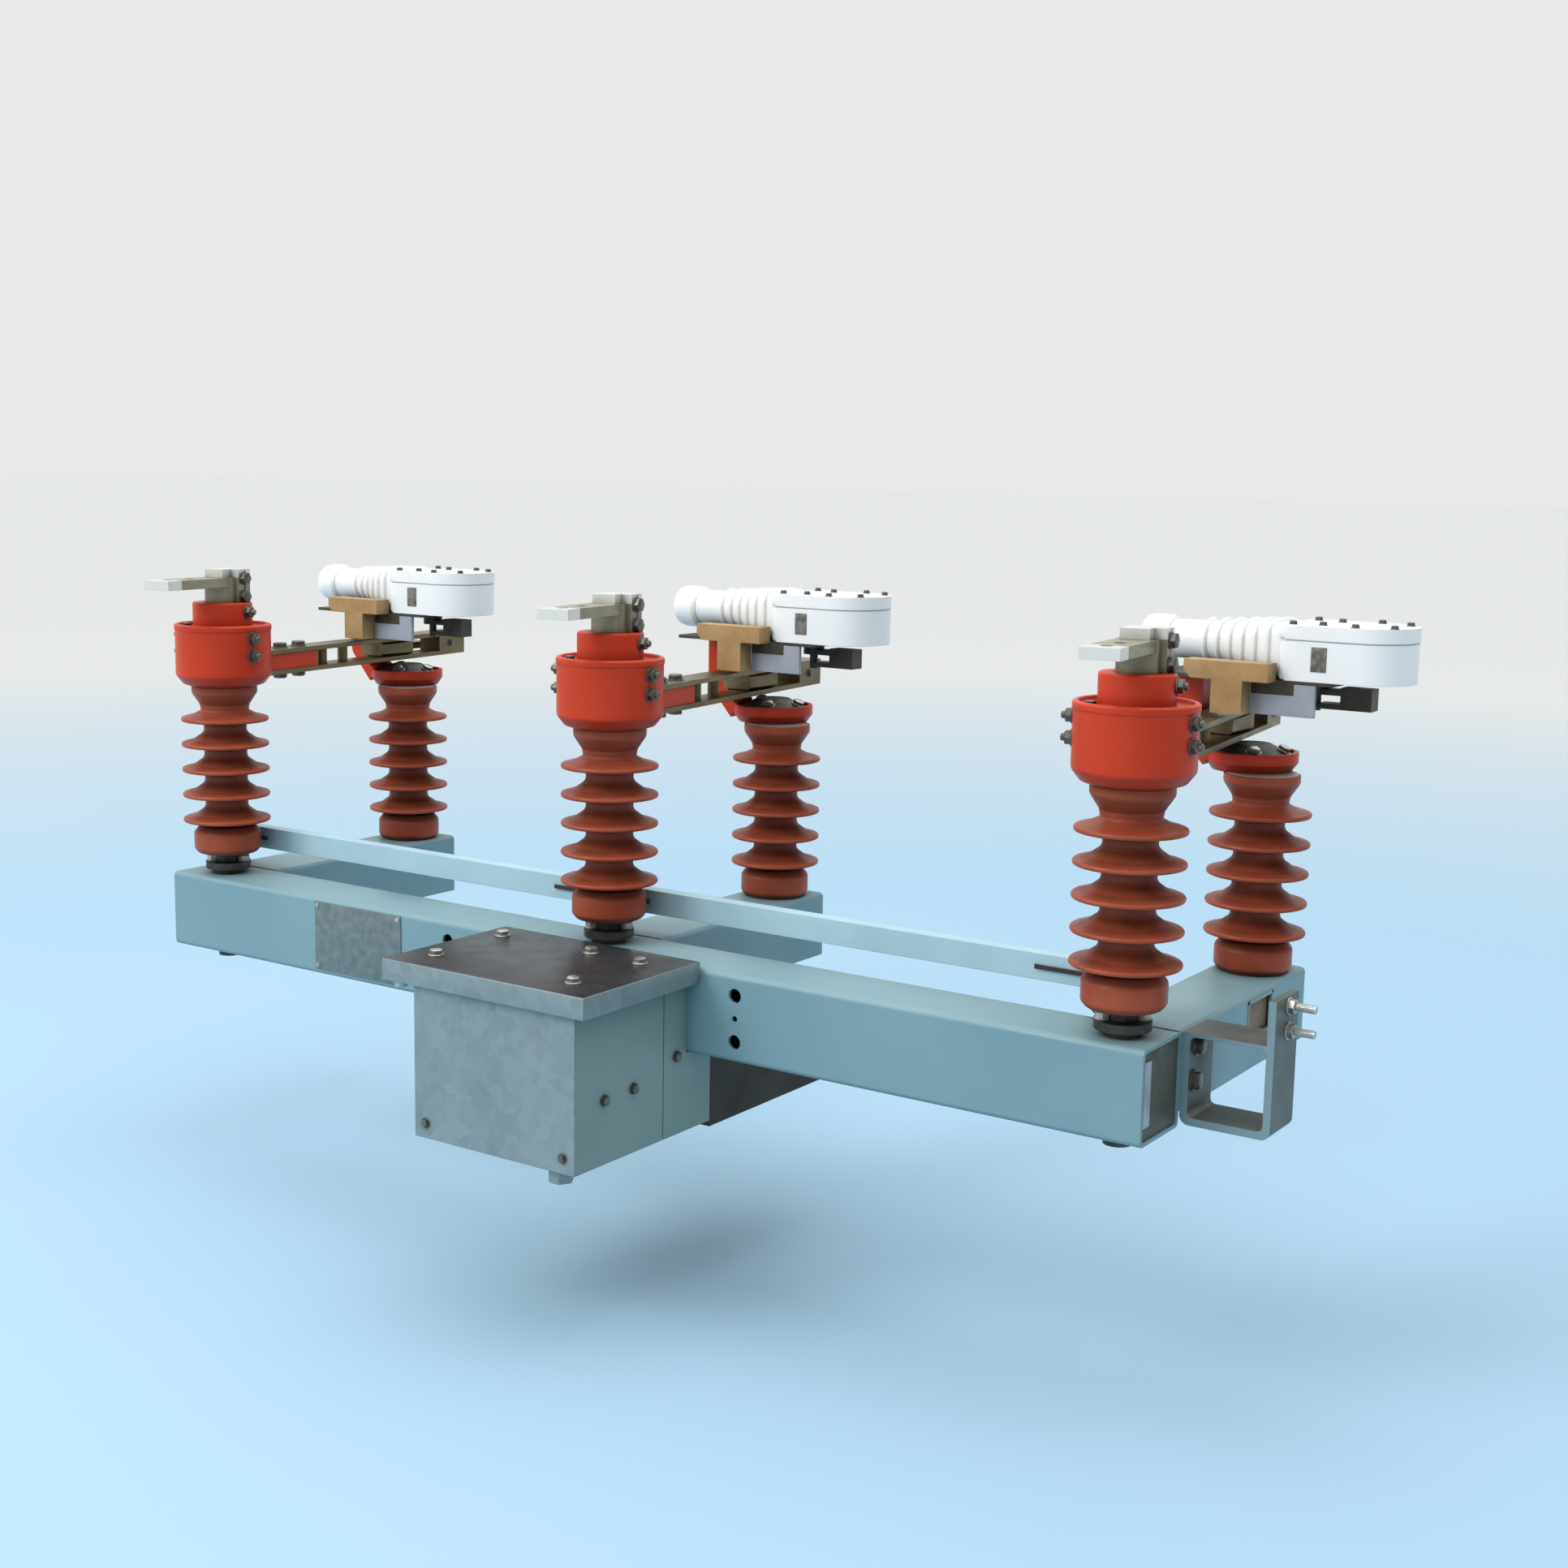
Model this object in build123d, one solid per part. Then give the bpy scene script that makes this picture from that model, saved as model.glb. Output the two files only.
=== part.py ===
from build123d import *
import os
from math import cos, radians, sin

# Outdoor load break switch, three phases, shown closed.
# Working frame: x along the beam, y from the turning posts to the fixed posts, z up.
# Zero is the middle turning post's axis, at the level of the beam's top face.
# All sizes are in millimetres.

# Layout of the six posts
post_pitch = 650.0
row_gap = 339.0
phase_names = ["left", "centre", "right"]

# Folded beam and the three cross arms behind it
beam_left_overhang = 55.0
beam_right_overhang = 44.0
beam_depth = 90.0
beam_height = 98.0
beam_wall = 4.0
beam_bend = 6.0
end_plate_thickness = 3.0
end_plate_inset = 2.0
fixing_hole_radius = 8.0
fixing_hole_pitch = 52.0
pilot_hole_radius = 3.5
fixing_hole_x = 212.0
arm_width = 90.0
arm_height = 82.0
arm_wall = 4.0
arm_bend = 6.0
arm_overhang = 51.0
window_length = 70.0
window_height = 44.0
window_top_edge = 6.0
window_from_beam = 172.0

# Mounting bracket at the beam's right end
bracket_depth = 60.0
bracket_width = 95.0
bracket_drop = 95.0
bracket_rise = 45.0
bracket_wall = 8.0
bracket_bend = 10.0
bracket_top_wall = 4.0
stud_radius = 4.0
stud_neck_radius = 4.5
stud_press_gap = 0.05
stud_head = 5.3
stud_head_across = 13.0
stud_reach = 28.0
stud_count = 2
stud_pitch = 25.0
stud_top_edge = 10.0
stud_from_front = 33.0

# Composite insulator, the same for all six posts
insulator_base_radius = 43.0
insulator_base_round = 7.0
insulator_core_radius = 27.5
insulator_neck_radius = 32.0
insulator_head_radius = 42.0
insulator_head_height = 12.0
insulator_neck_height = 29.0
insulator_head_round = 2.0
shed_radius = 56.2
shed_count = 5
shed_pitch = 33.3
shed_rim = 5.0
shed_root = 16.0
shed_droop = 3.0
shed_rim_bevel = 1.5
shed_root_round = 11.0
waist_round = 3.0
first_shed_height = 48.0

# Turning shaft, crank and drive link
shaft_radius = 15.0
shaft_clearance = 0.05
shaft_tail = 14.0
shaft_pocket_gap = 2.0
post_flange_radius = 29.0
post_flange_thickness = 9.0
post_hexagon_across = 26.0
post_lift = 28.0
washer_gap = 0.3
washer_radius = 20.0
crank_radius = 80.0
crank_half_swing = 40.0
crank_thickness = 6.0
crank_end_radius = 15.0
crank_level = 6.5
pin_radius = 6.0
pin_clearance = 0.05
pin_drop = 1.5
link_height = 28.0
link_depth = 18.0
link_wall = 3.0
pin_to_web = 1.5
link_bottom = 26.0
lug_length = 145.0
link_end_reach = 60.0
lug_overhang = 2.8
lug_thickness = 5.0
lug_level = 38.0

# Hood and terminal on each turning post
hood_radius = 61.0
hood_height = 81.0
hood_corner = 14.0
hood_foot_radius = 46.0
hood_recess = 5.0
hood_rim = 5.0
hood_bead = 0.8
hood_bead_height = 6.0
collar_radius = 38.0
collar_height = 28.0
collar_round = 3.0
stem_radius = 22.0
stem_height = 32.0
stem_seat = 4.0
stem_slot = 2.0
pad_length = 119.0
pad_width = 40.0
pad_thickness = 12.0
pad_hole_radius = 6.5
pad_hole_pitch = 40.0
pad_hole_edge = 20.0
clamp_width = 30.0
clamp_front = 15.0
clamp_height = 11.0
jaw_width = 13.0
jaw_depth = 22.0

# Blade on each turning post
blade_angle = 7.2
blade_reach = 510.0
blade_width = 36.0
blade_bar = 6.0
blade_gap = 22.0
blade_lift = 5.3
blade_block_length = 62.0
blade_core_end = 168.0
blade_core_inset = 2.0
blade_spacer_near = 30.0
blade_spacer_far = 75.0
blade_spacer_radius = 7.0
seat_gap = 0.2

# Fixed contact assembly on each fixed post
cap_shift_x = -21.0
cap_shift_y = 21.0
cap_radius = 51.0
cap_foot_radius = 44.0
cap_height = 22.0
cap_lip = 12.0
cap_wall = 5.0
cap_recess = 8.0
cone_rise = 7.5
cone_edge = 2.0
cone_top_radius = 21.0
arm_left = 103.0
arm_right = 71.0
arm_front = 330.0
arm_rear = 375.0
arm_root = 226.0
arm_root_width = 16.0
arm_knee_rise = 7.0
tongue_thickness = 20.0
tongue_reach = 42.0
tongue_front = 319.0
tongue_bar = 6.0
line_pad_left = 126.0
line_pad_width = 40.0
line_pad_length = 90.0
line_pad_thickness = 10.0
brass_left = 57.0
brass_right = 38.0
brass_front = 241.0
brass_depth = 24.0
brass_arm_drop = 2.0
brass_arm_height = 20.0
brass_arm_chamfer = 8.0
brass_post_left = 25.0
brass_post_width = 35.0
hanging_clearance = 5.0
tray_right = 100.0
tray_thickness = 4.0
plate_left = 10.0
plate_step = 58.0
plate_right = 81.0
plate_lip = 12.0
plate_thickness = 5.0

# Interrupter housing
housing_axis_y = 316.0
housing_axis_rise = 33.0
cap_end_x = -135.0
cap_tube_radius = 26.0
cap_tube_length = 35.0
cap_tube_round = 9.0
neck_tube_radius = 21.5
throat_start = -60.0
throat_half_width = 45.0
throat_half_height = 28.0
throat_round = 9.0
throat_flat = 1.5
rib_count = 6
rib_width = 6.0
rib_rise = 4.0
box_left = 38.0
box_right = 170.0
box_half_width = 52.0
box_left_round = 10.0
box_right_round = 46.0
box_height = 59.0
box_edge_round = 4.0
box_lid_height = 16.0
box_lid_overhang = 0.6
window_x = 84.0
window_rise = 28.0
window_across = 20.0
window_tall = 28.0
window_depth = 3.0

# Trigger lever beside each fixed contact
trigger_pivot_x = 60.0
trigger_pivot_y = 330.0
trigger_lift = 10.0
trigger_height = 24.0
trigger_right = 124.0
trigger_width = 22.0
trigger_prong = 6.0
trigger_block_length = 34.0
trigger_lower_prong = 24.0
trigger_arm_drop = 3.0
trigger_hub_radius = 13.0
trigger_pin_radius = 5.0
trigger_pin_clearance = 0.05
trigger_pin_drop = 3.0
housing_lift = 43.0

# Mechanism box in front of and under the beam, and the gearcase behind it
box_x_left = -80.0
box_x_right = 147.0
box_front = 235.0
box_drop = 188.0
box_lip = 5.0
cover_thickness = 3.0
lid_left = -120.0
lid_right = 165.0
lid_front = 246.0
lid_top = 8.0
lid_skirt = 24.0
lid_sheet = 3.0
gearcase_rear = 230.0
gearcase_drop = 195.0
gland_x = 110.0
gland_y = 215.0
gland_radius = 14.0
gland_height = 18.0
gland_bore_radius = 4.0
gland_bore_depth = 12.0

# Named levels and places that follow from the sizes above
beam_left = -post_pitch - beam_left_overhang
beam_right = post_pitch + beam_right_overhang
bracket_x = post_pitch + arm_width / 2
beam_rear = beam_depth / 2
arm_end = row_gap + arm_overhang
phase_x = [-post_pitch, 0.0, post_pitch]
insulator_height = (first_shed_height + (shed_count - 1) * shed_pitch
                    + insulator_neck_height + insulator_head_height)
front_top = post_lift + insulator_height
hood_top = front_top + hood_height
collar_top = hood_top + collar_height
rear_cap_top = insulator_height + cap_height
cone_top = rear_cap_top + cone_rise
blade_level = cone_top + blade_lift
blade_middle = blade_level + blade_bar + blade_gap / 2
blade_top = blade_level + 2 * blade_bar + blade_gap
hanging_bottom = blade_top + hanging_clearance
trigger_level = blade_top + trigger_lift
box_bottom = blade_top + housing_lift
box_top = box_bottom + box_height
support_top = box_bottom - tray_thickness
housing_axis_z = box_bottom + housing_axis_rise
cap_y = row_gap + cap_shift_y
link_front = crank_radius * sin(radians(90 + crank_half_swing)) - pin_radius - pin_to_web - link_wall
link_rear = link_front + link_depth
face_x = bracket_x + bracket_width
face_y = beam_rear + bracket_depth / 2
face_z = -bracket_drop / 2
stud_y = beam_rear + stud_from_front
stud_levels = [bracket_rise - stud_top_edge - number * stud_pitch for number in range(stud_count)]
stud_bore_radius = stud_neck_radius + stud_press_gap
origin_shift = Location((-face_x, -face_y, -face_z))


def write(name, *solids):
    """Move finished solids into the part's frame and write one node."""
    placed = [origin_shift * solid for solid in solids]
    shape = placed[0] if len(placed) == 1 else Compound(children=placed)
    export_step(shape, f"parts/{name}.step")


def block(x0, x1, y0, y1, z0, z1):
    """A straight block between two corners."""
    centre = ((x0 + x1) / 2, (y0 + y1) / 2, (z0 + z1) / 2)
    return Pos(*centre) * Box(x1 - x0, y1 - y0, z1 - z0)


def rod(x, y, z0, z1, radius):
    """An upright round rod."""
    return Pos(x, y, (z0 + z1) / 2) * Cylinder(radius, z1 - z0)


def cross_rod(x0, x1, y, z, radius):
    """A round rod along x."""
    return Pos((x0 + x1) / 2, y, z) * Rot(0, 90, 0) * Cylinder(radius, x1 - x0)


def outline(points):
    """A flat face from corners given as (x, y) or as (x, y, rounding)."""
    corners = [point[:2] for point in points]
    rounds = [point[2] if len(point) > 2 else 0 for point in points]
    if any(rounds):
        return make_face(FilletPolyline(*corners, radius=rounds, close=True))
    return make_face(Polyline(*corners, close=True))


def turned(points):
    """Revolve an outline of (radius, height, rounding) corners about the z axis."""
    return revolve(Plane.XZ * outline(points), Axis.Z)


def swung(x, shape):
    """Turn a shape drawn along +y to the blade's resting angle on a post."""
    return Pos(x, 0, 0) * Rot(0, 0, blade_angle) * shape


def beam():
    """Folded box beam with shaft bores and fixing holes."""
    section = RectangleRounded(beam_depth, beam_height, beam_bend)
    hollow = RectangleRounded(beam_depth - 2 * beam_wall, beam_height - 2 * beam_wall,
                              beam_bend - beam_wall / 2)
    plane = Plane(origin=(beam_left, 0, -beam_height / 2), x_dir=(0, 1, 0), z_dir=(1, 0, 0))
    tube = extrude(plane * (section - hollow), beam_right - beam_left)
    for x in phase_x:
        tube -= rod(x, 0, -beam_height - 1, 1, shaft_radius + shaft_clearance)
    for side in (-1, 1):
        for level, radius in ((-1, fixing_hole_radius), (0, pilot_hole_radius),
                              (1, fixing_hole_radius)):
            hole_z = -beam_height / 2 + level * fixing_hole_pitch / 2
            hole = Pos(side * fixing_hole_x, -beam_rear, hole_z) * Rot(90, 0, 0)
            tube -= hole * Cylinder(radius, 4 * beam_wall)
    return tube


def beam_end_plate(side):
    """Plate that closes one end of the beam."""
    face = RectangleRounded(beam_depth - 2 * beam_wall, beam_height - 2 * beam_wall,
                            beam_bend - beam_wall / 2)
    left = beam_left + end_plate_inset
    if side > 0:
        left = beam_right - end_plate_inset - end_plate_thickness
    plane = Plane(origin=(left, 0, -beam_height / 2), x_dir=(0, 1, 0), z_dir=(1, 0, 0))
    return extrude(plane * face, end_plate_thickness)


def cross_arm(x, side):
    """Folded channel from the beam to a fixed post, open underneath."""
    length = arm_end - beam_rear
    outer = block(x - arm_width / 2, x + arm_width / 2, beam_rear, arm_end, -arm_height, 0)
    outer = fillet(outer.edges().filter_by(Axis.Y).group_by(Axis.Z)[-1], arm_bend)
    outer = fillet(outer.edges().filter_by(Axis.Z).group_by(Axis.Y)[-1], arm_bend)
    half = arm_width / 2 - arm_wall
    inner = block(x - half, x + half, beam_rear - 1, arm_end - arm_wall, -arm_height - 1, -arm_wall)
    arm = outer - inner
    if side:
        wall_x = x + side * arm_width / 2
        window_y = beam_rear + window_from_beam
        arm -= block(wall_x - 2 * arm_wall, wall_x + 2 * arm_wall, window_y,
                     window_y + min(window_length, length - window_from_beam - arm_bend),
                     -window_top_edge - window_height, -window_top_edge)
    return arm


def mounting_bracket():
    """Bent strip bracket: inner leg on the arm, floor, and the outer mounting leg."""
    outer = Rectangle(bracket_width, bracket_drop + bracket_rise, align=(Align.MIN, Align.MIN))
    outer = fillet(outer.vertices().group_by(Axis.Y)[0], bracket_bend)
    inner = Pos(bracket_wall, bracket_wall) * Rectangle(
        bracket_width - 2 * bracket_wall, bracket_drop - bracket_wall - bracket_top_wall,
        align=(Align.MIN, Align.MIN))
    inner = fillet(inner.vertices(), bracket_bend - bracket_wall / 2)
    step = Pos(0, bracket_drop) * Rectangle(bracket_width - bracket_wall, bracket_rise,
                                            align=(Align.MIN, Align.MIN))
    plane = Plane(origin=(bracket_x, beam_rear + bracket_depth, -bracket_drop), x_dir=(1, 0, 0),
                  z_dir=(0, -1, 0))
    ring = extrude(plane * (outer - inner - step), bracket_depth)
    for level in stud_levels:
        ring -= cross_rod(face_x - 2 * bracket_wall, face_x + 1, stud_y, level, stud_bore_radius)
    return ring


def mounting_studs():
    """Two studs with a neck pressed into the outer leg and a head on its inner side."""
    inner_x = face_x - bracket_wall
    studs = []
    for level in stud_levels:
        shank = cross_rod(face_x, face_x + stud_reach, stud_y, level, stud_radius)
        neck = cross_rod(inner_x, face_x, stud_y, level, stud_neck_radius)
        plane = Plane(origin=(inner_x - stud_head, stud_y, level), x_dir=(0, 1, 0), z_dir=(1, 0, 0))
        outline = RegularPolygon(stud_head_across / 2, 6, major_radius=False)
        hexagon = extrude(plane * outline, stud_head)
        studs.append(shank + neck + hexagon)
    return studs


def insulator(x, y, base):
    """Composite insulator: barrel foot, five drooping sheds on a core, waist and head."""
    foot_top = first_shed_height - shed_root / 2 - shed_droop
    points = [(0, 0), (insulator_base_radius, 0, insulator_base_round),
              (insulator_base_radius, foot_top - shed_rim, insulator_base_round)]
    for number in range(shed_count):
        level = first_shed_height + number * shed_pitch
        rim_low = level - shed_rim / 2 - shed_droop
        rim_high = level + shed_rim / 2 - shed_droop
        points += [(insulator_core_radius, level - shed_root / 2 - shed_droop),
                   (shed_radius - shed_rim_bevel, rim_low), (shed_radius, rim_low + shed_rim_bevel),
                   (shed_radius, rim_high - shed_rim_bevel), (shed_radius - shed_rim_bevel, rim_high),
                   (insulator_core_radius, level + shed_root / 2, shed_root_round)]
    top = first_shed_height + (shed_count - 1) * shed_pitch
    head = top + insulator_neck_height
    points[-1] = (insulator_neck_radius, top + shed_root / 2, shed_root_round / 2)
    points += [(insulator_neck_radius, top + shed_root, waist_round),
               (insulator_head_radius, head, waist_round),
               (insulator_head_radius, head + insulator_head_height, insulator_head_round),
               (0, head + insulator_head_height)]
    return Pos(x, y, base) * turned(points)


def crank_shaft(x):
    """Turning shaft through the beam with its washer, crank, post flange and hexagon."""
    angle = 90 + crank_half_swing
    pin_x = x + crank_radius * cos(radians(angle))
    pin_y = crank_radius * sin(radians(angle))
    crank_top = crank_level + crank_thickness
    flange_top = crank_level + post_flange_thickness
    shaft = rod(x, 0, -beam_height - shaft_tail, flange_top, shaft_radius)
    washer = rod(x, 0, washer_gap, crank_level, washer_radius)
    arm = Pos(x, 0, crank_level) * Rot(0, 0, angle) * extrude(
        Pos(crank_radius / 2, 0) * Rectangle(crank_radius, 2 * crank_end_radius), crank_thickness)
    crank = arm + rod(pin_x, pin_y, crank_level, crank_top, crank_end_radius)
    crank -= rod(pin_x, pin_y, crank_level - 1, crank_top + 1, pin_radius + pin_clearance)
    flange = rod(x, 0, crank_level, flange_top, post_flange_radius)
    hexagon = Pos(x, 0, flange_top) * extrude(
        RegularPolygon(post_hexagon_across / 2, 6, major_radius=False), post_lift - flange_top)
    return shaft + washer + crank + flange + hexagon


def drive_link():
    """Channel link, open to the rear, with a lug and a pin for each crank."""
    angle = radians(90 + crank_half_swing)
    offset = crank_radius * cos(angle)
    pin_y = crank_radius * sin(angle)
    x0 = phase_x[0] + offset - link_end_reach
    x1 = phase_x[-1] + offset + link_end_reach
    link_top = link_bottom + link_height
    channel = block(x0, x1, link_front, link_rear, link_bottom, link_top)
    channel -= block(x0 - 1, x1 + 1, link_front + link_wall, link_rear + 1, link_bottom + link_wall,
                     link_top - link_wall)
    for x in phase_x:
        pin_x = x + offset
        channel += block(max(x0, pin_x - lug_length / 2), min(x1, pin_x + lug_length / 2),
                         link_front - lug_overhang, link_rear, lug_level, lug_level + lug_thickness)
        channel += rod(pin_x, pin_y, crank_level - pin_drop, lug_level + lug_thickness, pin_radius)
    return channel


def hood(x):
    """Red rain hood with a beaded rim, a shallow ledge and an inner collar."""
    inner = hood_radius - hood_rim
    bead = hood_radius + hood_bead
    ledge = hood_height - hood_recess
    top = hood_height + collar_height
    seat = stem_radius + seat_gap
    points = [(0, 0), (hood_foot_radius, 0), (hood_radius, hood_corner, hood_corner / 2),
              (hood_radius, hood_height - hood_bead_height),
              (bead, hood_height - hood_bead_height + hood_bead),
              (bead, hood_height, hood_rim / 3), (inner, hood_height), (inner, ledge),
              (collar_radius, ledge), (collar_radius, top, collar_round),
              (seat, top), (seat, top - stem_seat), (0, top - stem_seat)]
    return Pos(x, 0, front_top) * turned(points)


def terminal(x):
    """Plated stem with its clamping slot, clamp block, jaw and flat pad for the conductor."""
    pad_top = collar_top + stem_height
    pad_bottom = pad_top - pad_thickness
    clamp_top = pad_top + clamp_height
    stem = rod(0, 0, collar_top - stem_seat, pad_top, stem_radius)
    pad = block(-pad_width / 2, pad_width / 2, -pad_length, stem_radius, pad_bottom, pad_top)
    for number in range(2):
        hole_y = -pad_length + pad_hole_edge + number * pad_hole_pitch
        pad -= rod(0, hole_y, pad_bottom - 1, pad_top + 1, pad_hole_radius)
    clamp = block(-clamp_width / 2, clamp_width / 2, -clamp_front, stem_radius, pad_top, clamp_top)
    jaw_right = clamp_width / 2 + jaw_width
    jaw_front = stem_radius - jaw_depth
    jaw = block(0, jaw_right, jaw_front, stem_radius, collar_top + seat_gap, clamp_top)
    slot_y = stem_radius - jaw_depth / 2
    slot = block(clamp_width / 4, jaw_right + 1, slot_y, slot_y + stem_slot, collar_top, clamp_top + 1)
    return swung(x, stem + pad + clamp + jaw - slot)


def blade(x):
    """Two contact bars with spacers and a solid end block."""
    half = blade_width / 2
    start = hood_radius - blade_bar
    lower = block(-half, half, start, blade_reach, blade_level, blade_level + blade_bar)
    upper = block(-half, half, start, blade_reach, blade_top - blade_bar, blade_top)
    end = block(-half, half, blade_reach - blade_block_length, blade_reach, blade_level, blade_top)
    bars = lower + upper + end
    for distance in (blade_spacer_near, blade_spacer_far):
        bars += rod(0, blade_core_end + distance, blade_level, blade_top, blade_spacer_radius)
    seat = rod(0, 0, blade_level - 1, blade_top + 1, hood_radius + seat_gap)
    return swung(x, bars - seat)


def blade_core(x):
    """Red insulating block between the bars beside the hood."""
    half = blade_width / 2 - blade_core_inset
    core = block(-half, half, hood_radius - blade_bar, blade_core_end, blade_level + blade_bar,
                 blade_level + blade_bar + blade_gap)
    seat = rod(0, 0, blade_level, blade_top, hood_radius + seat_gap)
    return swung(x, core - seat)


def rear_cap(x):
    """Flared red bowl beside a fixed post's axis, with the arm that carries the housing."""
    centre = x + cap_shift_x
    inner = cap_radius - cap_wall
    lip = cap_height - cap_lip
    floor = insulator_height + cap_height - cap_recess
    bowl = Pos(centre, cap_y, insulator_height) * turned(
        [(0, 0), (cap_foot_radius, 0), (cap_radius, lip), (cap_radius, cap_height, cap_wall / 4),
         (inner, cap_height), (inner, cap_height - cap_recess), (0, cap_height - cap_recess)])
    left = x - arm_left
    right = x - arm_right
    rim_left = centre - cap_radius
    knee = rear_cap_top + arm_knee_rise
    root_high = rear_cap_top - cap_wall / 2
    side = outline([(rim_left + cap_wall, arm_root), (rim_left + arm_root_width, root_high),
                    (right, knee), (right, support_top), (left, support_top),
                    (left, knee + arm_root_width, arm_root_width)])
    plane = Plane(origin=(0, arm_rear, 0), x_dir=(1, 0, 0), z_dir=(0, -1, 0))
    arm = extrude(plane * side, arm_rear - arm_front)
    return bowl + (arm - rod(centre, cap_y, floor, knee + 1, inner))


def cone_plate(x):
    """Dark cone plate seated in the red bowl."""
    edge = cap_radius - cap_wall - seat_gap
    height = cap_recess + cone_rise
    seat = insulator_height + cap_height - cap_recess
    return Pos(x + cap_shift_x, cap_y, seat) * turned(
        [(0, 0), (edge, 0), (edge, cone_edge), (cone_top_radius, height, cone_edge), (0, height)])


def contact_support(x):
    """Contact tongue that the blade straddles, with the bar and pad of the outgoing line."""
    bottom = blade_middle - tongue_thickness / 2
    bar_rear = arm_rear + tongue_bar
    tongue = block(x - arm_right, x - arm_right + tongue_reach, tongue_front, bar_rear, bottom,
                   bottom + tongue_thickness)
    tongue = chamfer(tongue.edges().filter_by(Axis.Y).group_by(Axis.X)[-1], tongue_bar / 2)
    bar = block(x - line_pad_left, x - arm_right + tongue_bar, arm_rear, bar_rear, bottom,
                bottom + tongue_thickness)
    pad_rear = bar_rear + line_pad_length
    pad = block(x - line_pad_left, x - line_pad_left + line_pad_width, arm_rear, pad_rear, bottom,
                bottom + line_pad_thickness)
    hole_x = x - line_pad_left + line_pad_width / 2
    for number in range(2):
        hole_y = pad_rear - pad_hole_edge - number * pad_hole_pitch
        pad -= rod(hole_x, hole_y, bottom - 1, bottom + line_pad_thickness + 1, pad_hole_radius)
    return tongue + bar + pad


def tray(x):
    """Dark tray that carries the housing, with its front lip and the trigger's pivot pin."""
    front = brass_front + brass_depth + seat_gap
    plate = block(x - arm_left, x + tray_right, front, arm_rear, support_top, box_bottom)
    lip = block(x + plate_left, x + plate_step, front, front + plate_thickness, support_top - plate_lip,
                support_top)
    pin = rod(x + trigger_pivot_x, trigger_pivot_y, trigger_level - trigger_pin_drop, support_top,
              trigger_pin_radius)
    return plate + lip + pin


def brass_bracket(x):
    """Brass T piece in front of the tray: arm with a cut corner, and hanging post."""
    left = x - brass_left
    right = x + brass_right
    bottom = box_bottom - brass_arm_drop
    top = bottom + brass_arm_height
    post_left = x - brass_post_left
    post_right = post_left + brass_post_width
    face = outline([(left, top), (left, bottom + brass_arm_chamfer), (left + brass_arm_chamfer, bottom),
                    (post_left, bottom), (post_left, hanging_bottom), (post_right, hanging_bottom),
                    (post_right, bottom), (right, bottom), (right, top)])
    plane = Plane(origin=(0, brass_front + brass_depth, 0), x_dir=(1, 0, 0), z_dir=(0, -1, 0))
    return extrude(plane * face, brass_depth)


def side_plate(x):
    """Grey stepped plate that hangs from the tray's front edge and its lip."""
    front = brass_front + brass_depth + seat_gap
    face = outline([(x + plate_left, hanging_bottom), (x + plate_right, hanging_bottom),
                    (x + plate_right, support_top), (x + plate_step, support_top),
                    (x + plate_step, support_top - plate_lip), (x + plate_left, support_top - plate_lip)])
    plane = Plane(origin=(0, front + plate_thickness, 0), x_dir=(1, 0, 0), z_dir=(0, -1, 0))
    return extrude(plane * face, plate_thickness)


def throat_section(x, station, growth):
    """Cross-section of the throat at a station along x, grown by a rib's height."""
    share = (station - throat_start) / (box_left - throat_start)
    half_width = neck_tube_radius + share * (throat_half_width - neck_tube_radius) + growth
    half_height = neck_tube_radius + share * (throat_half_height - neck_tube_radius) + growth
    corner = (1 - share) * (neck_tube_radius + growth) + share * throat_round
    corner = min(corner, half_height - throat_flat)
    plane = Plane(origin=(x + station, housing_axis_y, housing_axis_z), x_dir=(0, 1, 0), z_dir=(1, 0, 0))
    return plane * RectangleRounded(2 * half_width, 2 * half_height, corner)


def interrupter(x):
    """White housing: end cap, neck, ribbed throat that widens, and the flat box with its lid."""
    cap = cross_rod(x + cap_end_x, x + cap_end_x + cap_tube_length, housing_axis_y, housing_axis_z,
                    cap_tube_radius)
    cap = fillet(cap.edges().group_by(Axis.X)[0], cap_tube_round)
    body = cap + cross_rod(x + cap_end_x + cap_tube_length / 2, x + throat_start + rib_width,
                           housing_axis_y, housing_axis_z, neck_tube_radius)
    rib_pitch = (box_left - throat_start) / rib_count
    for number in range(rib_count):
        station = throat_start + number * rib_pitch
        body += extrude(throat_section(x, station, rib_rise), rib_width)
        body += extrude(throat_section(x, station + rib_width, 0), rib_pitch - rib_width)
    rear = housing_axis_y + box_half_width
    front = housing_axis_y - box_half_width
    plan = outline([(x + box_left, front, box_left_round), (x + box_right, front, box_right_round),
                    (x + box_right, rear, box_right_round), (x + box_left, rear, box_left_round)])
    case = Pos(0, 0, box_bottom) * extrude(plan, box_height - box_lid_height)
    case = fillet(case.edges().group_by(Axis.Z)[0], box_edge_round)
    lid = Pos(0, 0, box_top - box_lid_height) * extrude(offset(plan, box_lid_overhang), box_lid_height)
    lid = fillet(lid.edges().group_by(Axis.Z)[-1], box_edge_round)
    window_z = box_bottom + window_rise
    window = block(x + window_x - window_across / 2, x + window_x + window_across / 2, front - 1,
                   front + window_depth, window_z - window_tall / 2, window_z + window_tall / 2)
    return body + case + lid - window


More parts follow.
